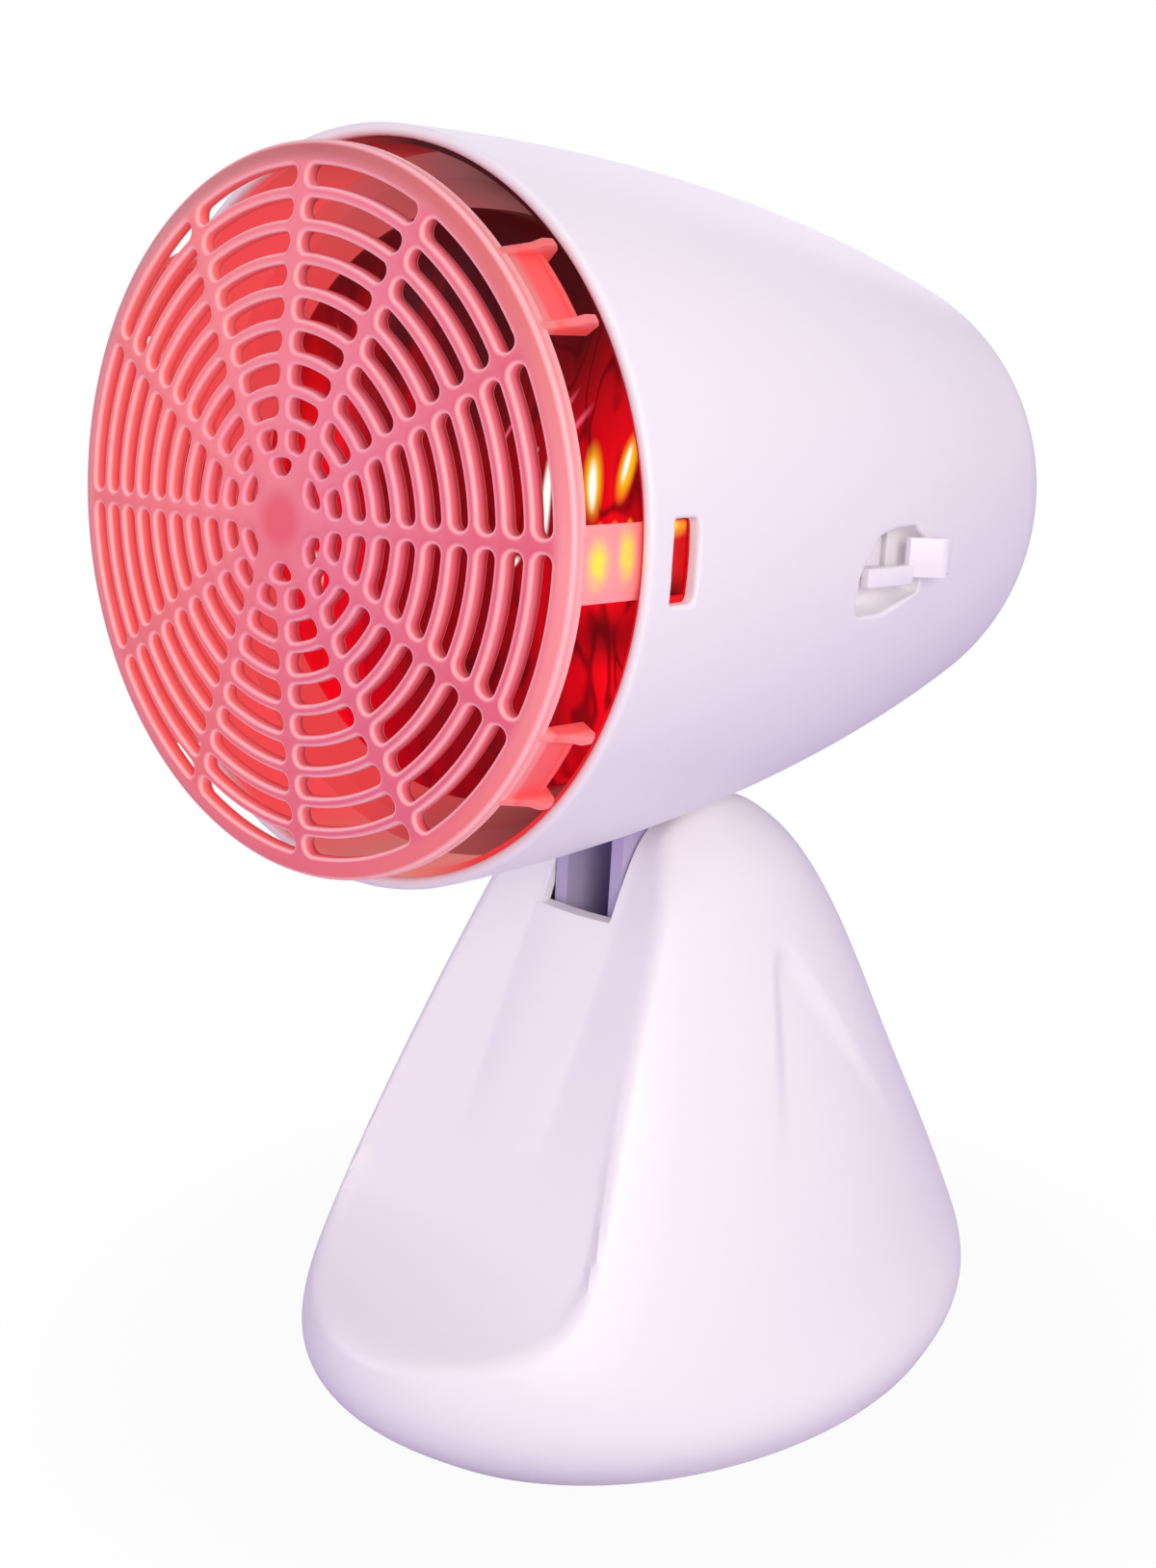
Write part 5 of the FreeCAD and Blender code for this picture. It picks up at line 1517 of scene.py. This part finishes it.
# ---------------------------------------------------------------- finishes


@dataclass(frozen=True)
class Plastic:
    """Moulded plastic: a fine grain and a slow change of gloss keep its faces from looking flat.

    Sizes are in millimetres and colours are sRGB hex codes. Light goes in a little where scatter is set.
    """

    name: str
    colour: str
    roughness: float = 0.4
    ior: float = 1.46
    scatter: float = 0.0
    scatter_mm: float = 1.0
    grain_mm: float = 0.5
    grain_depth: float = 0.004
    coat: float = 0.0
    cloud_mm: float = 60.0

    def make(self) -> bpy.types.Material:
        """Make the material."""
        shader = Shader(self.name)
        grain = shader.node("TexNoise", (shader.place, per_metre(self.grain_mm), 3.0))
        cloud = shader.node("TexNoise", (shader.place, per_metre(self.cloud_mm), 2.0))
        glossy, dull = self.roughness - 0.02, self.roughness + 0.03
        rough = shader.node("MapRange", (cloud, 0.3, 0.7, glossy, dull), **SMOOTH)
        shader.set(Base_Color=self.colour, Roughness=rough, IOR=self.ior, Coat_Weight=self.coat,
                   Coat_Roughness=0.2, Subsurface_Weight=self.scatter,
                   Subsurface_Radius=(1.0, 0.8, 0.9), Subsurface_Scale=self.scatter_mm * MM)
        return shader.relief(grain, self.grain_depth).material


@dataclass(frozen=True)
class Metal:
    """Plain or brushed metal, mottled enough that its shine isn't flat."""

    name: str
    colour: str
    roughness: float = 0.3
    mottle_mm: float = 3.0

    def make(self) -> bpy.types.Material:
        """Make the material."""
        shader = Shader(self.name)
        cloud = shader.node("TexNoise", (shader.place, per_metre(self.mottle_mm), 4.0))
        glossy, dull = self.roughness * 0.8, self.roughness * 1.25
        rough = shader.node("MapRange", (cloud, 0.3, 0.7, glossy, dull), **SMOOTH)
        shader.set(Base_Color=self.colour, Metallic=1.0, Roughness=rough)
        return shader.relief(cloud, 0.01, 0.4).material


@dataclass(frozen=True)
class Glass:
    """Clear or tinted glass, with the faint waves of a blown bulb."""

    name: str
    colour: str
    roughness: float = 0.05
    transmission: float = 0.9

    def make(self) -> bpy.types.Material:
        """Make the material."""
        shader = Shader(self.name)
        shader.set(Base_Color=self.colour, Roughness=self.roughness, IOR=1.52,
                   Transmission_Weight=self.transmission)
        waves = shader.node("TexNoise", (shader.place, per_metre(8), 2.0))
        return shader.relief(waves, 0.05, 0.3).material


@dataclass(frozen=True)
class FrostedGuard:
    """Frosted polypropylene of the guard, with painted highlights along its moulded edges, painted shade deep
    in its slots, painted light and shade round its rim and on its legs, and a painted glow.
    """

    name: str = "Frosted salmon polypropylene"
    left: str = "#EA6C6A"
    right: str = "#DE6276"
    wall_left: str = "#E8686A"
    wall_right: str = "#D65870"
    # Painted shade deep in the slots.
    shaded_deep_left: str = "#DE4A4C"
    shaded_deep_right: str = "#A01626"
    plate: str = "#E64848"
    edge: str = "#FCC6C2"
    edge_highlight_core: str = "#EE9CC4"
    boss: str = "#DC2440"
    # Painted shade and red light on the legs behind the mouth.
    leg: str = "#C01A1C"
    # Painted light and shade round the rim, darker over the top.
    rim: tuple = ((0.0, "#EE8E8C"), (0.25, "#E86A6C"), (0.36, "#EA7876"), (0.5, "#F09C9C"),
                  (0.62, "#D87470"), (0.75, "#B85C58"), (0.87, "#D28480"), (1.0, "#EE8E8C"))
    crown: float = 21.7
    dome_across: float = 825.6
    # Painted light and shade on the right leg: yellow patches of painted glow and one dark patch of painted
    # shade, each as centre and half widths in Y and Z, and colour.
    leg_light_and_shade: tuple = (((0.0, 9.0), (5.0, 3.4), "#FFD84A"), ((1.5, 1.5), (5.4, 2.6), "#FFD84A"),
                      ((6.2, -9.0), (2.4, 7.0), "#FFD84A"), ((-8.0, -9.0), (6.0, 8.0), "#3C0508"))

    def make(self) -> bpy.types.Material:
        """Make the material."""
        shader = Shader(self.name)
        edge = shader.node("Attribute", out="Fac", attribute_name="edge")
        x, y, z = shader.node("SeparateXYZ", (shader.head_mm(),)).node.outputs
        flat = shader.node("CombineXYZ", (x, y))
        radius = shader.node("VectorMath", (flat,), operation="LENGTH")
        # How far a point lies below the dome's outer face.
        share = shader.node("Math", (radius, self.dome_across), operation="DIVIDE")
        sag = shader.node("Math", (radius, share), operation="MULTIPLY")
        level = shader.node("Math", (self.crown, sag), operation="SUBTRACT")
        drop = shader.node("Math", (level, z), operation="SUBTRACT")
        # Face; slot walls with painted shade that deepens inwards; boss; and rim with painted light and shade
        # round it.
        side = shader.node("MapRange", (x, -34, 22), **SMOOTH)
        upper = shader.layers(self.wall_left, (side, self.wall_right))
        lower = shader.layers(self.shaded_deep_left, (side, self.shaded_deep_right))
        wall = shader.layers(upper, (shader.node("MapRange", (drop, 0.8, 3.3), **SMOOTH), lower))
        body = shader.layers(
            self.left, (side, self.right),
            (shader.node("MapRange", (drop, 0.3, 1.6), **SMOOTH), wall),
            (shader.node("MapRange", (radius, 3.0, 7.6, 0.85, 0.0), **SMOOTH), self.boss),
            (shader.node("MapRange", (radius, 65.5, 68.5, 0.0, 0.9), **SMOOTH),
             shader.around(x, y, self.rim)))
        # Painted highlight along the moulded edges, pinker and patchy towards the middle.
        core = shader.node("MapRange", (radius, 8, 46, 1.0, 0.0), **SMOOTH)
        cloud = shader.node("TexNoise", (shader.place, per_metre(9), 3.0))
        patchy = shader.node("Math", (core, cloud), operation="MULTIPLY")
        light = shader.layers(self.edge, (patchy, self.edge_highlight_core))
        # Clips lie off the horizontal spokes, behind the rim.
        off_spoke = shader.node("Math", (y,), operation="ABSOLUTE")
        off_spoke = shader.node("Math", (off_spoke, 12.0), operation="GREATER_THAN")
        behind = shader.node("MapRange", (z, 9.5, 11.0, 0.75, 0.0), **SMOOTH)
        clips = shader.node("Math", (behind, off_spoke), operation="MULTIPLY")
        inward = shader.node("MapRange", (radius, 71.0, 72.4, 1.0, 0.2), **SMOOTH)
        colour = shader.layers(
            body, (shader.node("Math", (edge, 0.78), operation="MULTIPLY"), light),
            (shader.node("Math", (clips, inward), operation="MULTIPLY"), self.plate),
            # Painted shade and red light: the legs turn deep red behind the mouth.
            (shader.node("MapRange", (z, -4, -2, 1.0, 0.0), **SMOOTH), self.leg))
        along = shader.node("CombineXYZ", (y, z))
        ragged = shader.node("TexNoise", (shader.place, per_metre(3), 2.0))
        ragged = shader.node("MapRange", (ragged, 0.3, 0.6, 0.6, 1.0), **SMOOTH)
        right = shader.node("Math", (x, 60.0), operation="GREATER_THAN")
        for centre, size, code in self.leg_light_and_shade:
            patch = shader.node("Math", (shader.spot(along, centre, size, 0, 0.8), right),
                                operation="MULTIPLY")
            colour = shader.layers(colour, (shader.node("Math", (patch, ragged), operation="MULTIPLY"), code))
        # The emission is a painted glow, stronger down the slot walls.
        shader.set(Base_Color=colour, Roughness=0.36, IOR=1.49, Specular_IOR_Level=0.25,
                   Subsurface_Weight=0.4, Subsurface_Radius=(1.0, 0.5, 0.45),
                   Subsurface_Scale=2.5 * MM, Transmission_Weight=0.06, Emission_Color=colour,
                   Emission_Strength=shader.node("MapRange", (drop, 0.3, 2.0, 0.16, 0.28), **SMOOTH))
        grain = shader.node("TexNoise", (shader.place, per_metre(0.6), 2.0))
        return shader.relief(grain, 0.01, 0.5).material


@dataclass(frozen=True)
class RubyLens:
    """Ruby glass of the bulb's face, with bright and dark streaks painted as reflections of the reflector
    behind it, painted shade and painted glints.

    The glints are (x, y), half widths and turn in the head's own millimetres and degrees.
    """

    name: str = "Ruby heat lamp glass"
    across: tuple = ((0.0, "#8E0310"), (0.10, "#C8040F"), (0.24, "#E40016"), (0.36, "#B00012"),
                     (0.50, "#8A0410"), (0.62, "#78050C"), (0.76, "#9A0610"), (0.86, "#DE0414"),
                     (0.94, "#F00A18"), (1.0, "#B8040E"))
    # Painted glints, white and yellow, painted pink sheens and patches of painted shade follow.
    white: tuple = (((-39.5, 9.1), (2.2, 3.8), -10), ((-43.0, 1.1), (2.0, 3.6), 0),
                    ((-43.3, -12.8), (2.0, 3.6), 0), ((-35.3, -16.7), (2.2, 3.8), 12),
                    ((-33.8, -24.7), (2.4, 3.8), 12),
                    ((32.0, 5.8), (1.1, 9.5), 0), ((31.1, -2.9), (1.8, 0.8), 40),
                    ((24.7, -7.4), (2.6, 0.9), 40), ((27.7, 12.8), (0.6, 3.2), -24),
                    ((41.7, 9.8), (1.0, 5.2), 4), ((48.2, 14.6), (0.6, 4.0), -8))
    yellow_glints: tuple = (((41.7, 10.5), (2.1, 7.2), 4), ((48.4, 13.9), (1.7, 6.6), -8),
                     ((44.0, 0.5), (1.0, 2.4), 0), ((47.0, 1.2), (0.9, 2.4), 0), ((50.0, 2.0), (0.8, 2.4), 0))
    pink: tuple = (((37.0, 21.0), (0.7, 4.6), -34), ((33.5, 23.0), (0.6, 5.2), -30),
                   ((21.0, 17.0), (0.5, 6.0), -26), ((-30.0, 30.0), (0.8, 7.0), 44))
    shade: tuple = (((45.0, -19.0), (9.0, 6.0), 20), ((14.0, -30.0), (16.0, 5.0), 14),
                    ((-8.0, 6.0), (5.0, 16.0), 12), ((14.0, 24.0), (14.0, 7.0), -24))

    def make(self) -> bpy.types.Material:
        """Make the material."""
        shader = Shader(self.name)
        local = shader.head_mm()
        x, y, _ = shader.node("SeparateXYZ", (local,)).node.outputs
        slant = {"Vector": local, "Rotation": (0, 0, math.radians(-18)), "Scale": (0.09, 0.02, 0.02)}
        streak = {"Vector": shader.node("Mapping", slant), "Scale": 1.0, "Detail": 3.0, "Distortion": 0.9}
        shift = shader.node("MapRange", (shader.node("TexNoise", streak), 0.25, 0.75, -9.0, 9.0), **SMOOTH)
        at_x, at_y = (shader.node("Math", (part, shift), operation="ADD") for part in (x, y))
        # Painted light and shade in bands across the lens, stirred by the streak noise.
        colour = shader.node("ValToRGB", (shader.node("MapRange", (at_x, -60, 60)),), stops=self.across)
        # Painted shade over the lens's top, fainter at the right.
        high = shader.node("MapRange", (at_y, 6, 46, 0.0, 0.94), **SMOOTH)
        fade = shader.node("MapRange", (x, 34, 50, 1.0, 0.45), **SMOOTH)
        top = shader.node("Math", (high, fade), operation="MULTIPLY")
        # Fine dark threads, drawn where a noise crosses its middle value.
        slant = {"Vector": local, "Rotation": (0, 0, math.radians(28)), "Scale": (0.13, 0.035, 0.05)}
        swirl = {"Vector": shader.node("Mapping", slant), "Scale": 1.0, "Detail": 1.0, "Distortion": 0.7}
        off = shader.node("Math", (shader.node("TexNoise", swirl), 0.5), operation="SUBTRACT")
        off = shader.node("Math", (off,), operation="ABSOLUTE")
        fine = shader.node("MapRange", (off, 0.0, 0.05, 0.7, 0.0), **SMOOTH)
        lit = shader.node("MapRange", (x, 5, 30, 0.25, 1.0), **SMOOTH)
        thread = shader.node("Math", (fine, lit), operation="MULTIPLY")
        colour = shader.layers(colour, (top, "#360B0E"), (thread, "#4A0408"))
        # Lay painted shade, painted pink sheens and painted yellow and white glints.
        for spots, code, share, soft in ((self.shade, "#4E060C", 0.7, 0.9), (self.pink, "#F2607A", 0.7, 0.9),
                                         (self.yellow_glints, "#FFC81E", 0.95, 0.7),
                                         (self.white, "#FFFDF4", 1.0, 0.6)):
            for centre, size, turn in spots:
                spot = shader.spot(local, centre, size, turn, soft)
                coat = shader.node("Math", (spot, share), operation="MULTIPLY")
                colour = shader.layers(colour, (coat, code))
        # The lens glows with its painted light and shade over a darkened base colour.
        shader.set(Base_Color=shader.layers(colour, (0.75, "#200003")), Roughness=0.3, IOR=1.52,
                   Specular_IOR_Level=0.05, Emission_Color=colour, Emission_Strength=0.95)
        waves = shader.node("TexNoise", (shader.place, per_metre(14), 2.0))
        return shader.relief(waves, 0.3, 0.3).material


@dataclass(frozen=True)
class RedLiner:
    """Satin red liner, with painted light and shade round the mouth and a painted glow."""

    name: str = "Satin red liner"
    # Painted light and shade round the axis: salmon where lit, near black over the top right.
    stops: tuple = ((0.0, "#EC4E53"), (0.19, "#EC4E53"), (0.24, "#C4706C"), (0.28, "#D88078"),
                    (0.33, "#E23A3C"), (0.44, "#E0121A"), (0.55, "#DA1018"), (0.59, "#7A1014"),
                    (0.62, "#3A0A0D"), (0.73, "#3A0A0D"), (0.77, "#8A1A1E"), (0.81, "#D04A4C"),
                    (0.85, "#EC4E53"))

    def make(self) -> bpy.types.Material:
        """Make the material."""
        shader = Shader(self.name)
        x, y, _ = shader.node("SeparateXYZ", (shader.head_mm(),)).node.outputs
        colour = shader.around(x, y, self.stops)
        # The emission is a painted glow of the same colours.
        shader.set(Base_Color=shader.layers(colour, (0.75, "#200204")), Roughness=0.5, IOR=1.49,
                   Specular_IOR_Level=0.12, Emission_Color=colour, Emission_Strength=0.86)
        grain = shader.node("TexNoise", (shader.place, per_metre(1), 2.0))
        return shader.relief(grain, 0.01, 0.5).material


@dataclass(frozen=True)
class LitShield:
    """Satin aluminium of the heat shield, with painted red light, painted shade and a painted glow."""

    name: str = "Satin aluminium in red light"
    stops: tuple = ((0.0, "#E8484C"), (0.20, "#E4474A"), (0.27, "#A04A4A"), (0.36, "#5A1A1C"),
                    (0.5, "#B00E14"), (0.6, "#4A1012"), (0.70, "#3C1214"), (0.75, "#8A5052"),
                    (0.82, "#C85456"), (0.88, "#E8484C"))

    def make(self) -> bpy.types.Material:
        """Make the material."""
        shader = Shader(self.name)
        x, y, z = shader.node("SeparateXYZ", (shader.head_mm(),)).node.outputs
        # Painted red light and shade round the axis near the mouth, painted dark further back.
        near = shader.node("MapRange", (z, -60, -34), **SMOOTH)
        colour = shader.layers("#2A0A0C", (near, shader.around(x, y, self.stops)))
        dark = shader.layers(colour, (0.8, "#1A0204"))
        # The emission is a painted glow.
        shader.set(Base_Color=shader.layers("#8C8082", (near, dark)), Metallic=0.5, Roughness=0.5,
                   Specular_IOR_Level=0.42, Emission_Color=colour, Emission_Strength=0.85)
        return shader.material


class Finishes:
    """The materials of the lamp, each made once."""

    plastics = {
        Slot.SHELL: Plastic("Satin lilac ABS", "#F5F0F0", 0.36, 1.5, 0.12, 1.2),
        Slot.LEVER: Plastic("Lilac lever ABS", "#F3ECF0", 0.34, 1.5, 0.12, 1.0),
        Slot.SWITCH: Plastic("Black nylon", "#16161A", 0.45),
        Slot.PLATE: Plastic("Textured lilac plate", "#DDD0E6", 0.55, grain_mm=1.2, grain_depth=0.03),
        Slot.FOOT: Plastic("Grey rubber feet", "#6E6A73", 0.8, grain_mm=0.8, grain_depth=0.02),
        Slot.BUSH: Plastic("Lilac grey rubber bush", "#B9AEC4", 0.7, grain_mm=0.8, grain_depth=0.01),
        Slot.WASHER: Plastic("Natural nylon washer", "#E8E2D6", 0.45),
        Slot.BLOCK: Plastic("White polyamide block", "#E6E2DA", 0.5),
        Slot.CERAMIC: Plastic("Steatite holder", "#EDE6DA", 0.42, coat=0.3),
    }
    # The shell's lilac darkened as painted shade, for the neck arm that lies in the shade of the slot.
    shaded_arm = Plastic("Lilac ABS in painted shade", "#B9ABCB", 0.42, 1.5, 0.05, 1.2)
    metals = {
        Slot.SILVER: Metal("Aluminised reflector", "#D9D2D0", 0.12, 12.0),
        Slot.BRASS: Metal("Brass cap", "#C8A24A", 0.28),
        Slot.TUNGSTEN: Metal("Tungsten coil", "#6A6560", 0.4, 0.5),
        Slot.WIRE: Metal("Drawn steel wire", "#A9A7A5", 0.3, 0.8),
        Slot.PLATED: Metal("Zinc plated steel", "#B8B9BD", 0.34, 4.0),
        Slot.SCREW: Metal("Nickel plated screws", "#B3B1AE", 0.3, 1.5),
        Slot.BALLAST: Metal("Cast iron ballast", "#4A4846", 0.6, 2.5),
    }
    glasses = {
        Slot.BEAD: Glass("Black glass bead", "#17141C", 0.1, 0.0),
        Slot.STEM: Glass("Clear stem glass", "#F2F4F2"),
    }

    def __init__(self) -> None:
        own = {Slot.GUARD: FrostedGuard(), Slot.RUBY: RubyLens(), Slot.LINER: RedLiner(),
               Slot.SHIELD: LitShield()}
        self.made = {slot: kind.make() for slot, kind in
                     (self.plastics | self.metals | self.glasses | own).items()}

    def __getitem__(self, slot: Slot) -> bpy.types.Material:
        return self.made[slot]

    def paint_nodes(self) -> None:
        """Give every CAD node the finish of its slot, except the neck arm, which gets the shell's lilac in
        painted shade.
        """
        slots = {part["node"]: part["material_slot"] for part in frame["record"]["subparts"]}
        shaded_arm = self.shaded_arm.make()
        for name, obj in frame["nodes"].items():
            material = shaded_arm if name == "neck_arm" else self.made[Slot(slots[name])]
            for place in obj.material_slots:
                place.material = material


# ---------------------------------------------------------------- studio


@dataclass(frozen=True)
class SoftBox:
    """One round soft light: its place, its aim and its width in metres, and its power in watts."""

    name: str
    place: tuple[float, float, float]
    aim: tuple[float, float, float]
    width: float
    power: float
    colour: str = "#FFFFFF"

    def make(self) -> None:
        """Make the light."""
        data = bpy.data.lights.new(self.name, "AREA")
        data.shape, data.size, data.energy = "DISK", self.width, self.power
        data.color = linear(self.colour)[:3]
        made = bpy.data.objects.new(self.name, data)
        bpy.context.scene.collection.objects.link(made)
        made.location = self.place
        way = Vector(self.aim) - Vector(self.place)
        made.rotation_euler = way.to_track_quat("-Z", "Y").to_euler()


@dataclass(frozen=True)
class Studio:
    """Camera, lights and floor."""

    camera_at: tuple[float, float, float] = (0.3384, -0.3876, 0.2964)
    azimuth: float = 42.77
    elevation: float = 16.67
    lens: float = 53.09
    floor_colour: str = "#CBC0DC"
    floor_half: float = 6.0
    world_colour: str = "#EBE1FB"
    world_strength: float = 0.66
    lights: tuple[SoftBox, ...] = (
        SoftBox("key", (1.28, -0.76, 0.62), (0.02, -0.02, 0.16), 0.8, 11.9, "#FFFDF0"),
        SoftBox("fill", (-0.9, -1.0, 0.4), (0, -0.03, 0.12), 0.9, 3.0, "#F8F2FF"),
        SoftBox("top", (0.5, 0.3, 1.2), (0, 0, 0.2), 0.8, 1.1),
        SoftBox("back", (-0.7, 1.0, 0.6), (0, 0, 0.14), 0.8, 1.3),
    )

    def camera(self) -> None:
        """Make the camera."""
        data = bpy.data.cameras.new("camera")
        data.sensor_width = 36.0
        data.lens = self.lens
        data.clip_start, data.clip_end = 0.01, 20
        made = bpy.data.objects.new("camera", data)
        bpy.context.scene.collection.objects.link(made)
        made.location = self.camera_at
        made.rotation_euler = (math.radians(90 - self.elevation), 0, math.radians(self.azimuth))
        bpy.context.scene.camera = made

    def floor(self) -> None:
        """Make the pale floor."""
        build = Build()
        half = self.floor_half
        build.lid(build.row([(-half, -half, 0), (half, -half, 0), (half, half, 0), (-half, half, 0)]))
        mesh = build.mesh("floor")
        shader = Shader("White paper floor")
        shader.set(Base_Color=self.floor_colour, Roughness=0.9, Specular_IOR_Level=0.1)
        # White to the camera, and nearly so under the base, where the shadow shows through.
        glow = shader.node("Emission", {"Color": "#FFFFFF", "Strength": 1.0})
        seen = shader.node("LightPath", out="Is Camera Ray")
        reach = shader.node("VectorMath", (shader.place,), operation="LENGTH")
        clear = shader.node("MapRange", (reach, 0.08, 0.2, 0.95, 1.0), **SMOOTH)
        share = shader.node("Math", (seen, clear), operation="MULTIPLY")
        blend = shader.node("MixShader", (share, shader.surface.outputs[0], glow))
        shader.link(blend, shader.output.inputs["Surface"])
        mesh.materials.append(shader.material)
        made = bpy.data.objects.new("floor", mesh)
        bpy.context.scene.collection.objects.link(made)

    def world(self) -> None:
        """Make the white surroundings."""
        world = bpy.data.worlds.new("studio")
        bpy.context.scene.world = world
        world.use_nodes = True
        nodes = Nodes(world.node_tree)
        seen = nodes.node("Background", {"Color": "#FFFFFF", "Strength": 1.0})
        lit = nodes.node("Background", {"Color": self.world_colour, "Strength": self.world_strength})
        blend = nodes.node("MixShader", (nodes.node("LightPath", out="Is Camera Ray"), lit, seen))
        nodes.link(blend, nodes.tree.nodes.new("ShaderNodeOutputWorld").inputs["Surface"])

    def make(self) -> None:
        """Make the whole studio."""
        self.camera()
        self.floor()
        self.world()
        for light in self.lights:
            light.make()


def main() -> None:
    """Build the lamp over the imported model."""
    logging.basicConfig(level=logging.INFO)
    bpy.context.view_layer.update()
    finishes = Finishes()
    finishes.paint_nodes()
    head = HeadSizes()
    HeadShell(head, finishes[Slot.SHELL]).make()
    MouthLiner(LinerSizes(), head, finishes[Slot.LINER]).make()
    GuardGrille(GuardSizes(), finishes[Slot.GUARD]).make()
    bulb = Bulb(BulbSizes(), finishes[Slot.RUBY], finishes[Slot.SILVER])
    bulb.lens()
    bulb.bowl()
    BaseShell(BaseSizes(), finishes[Slot.SHELL]).make()
    SwitchLever(LeverSizes(), finishes[Slot.LEVER]).make()
    bpy.context.scene.view_settings.view_transform = "Standard"
    Studio().make()


if __name__ == "__main__":
    main()
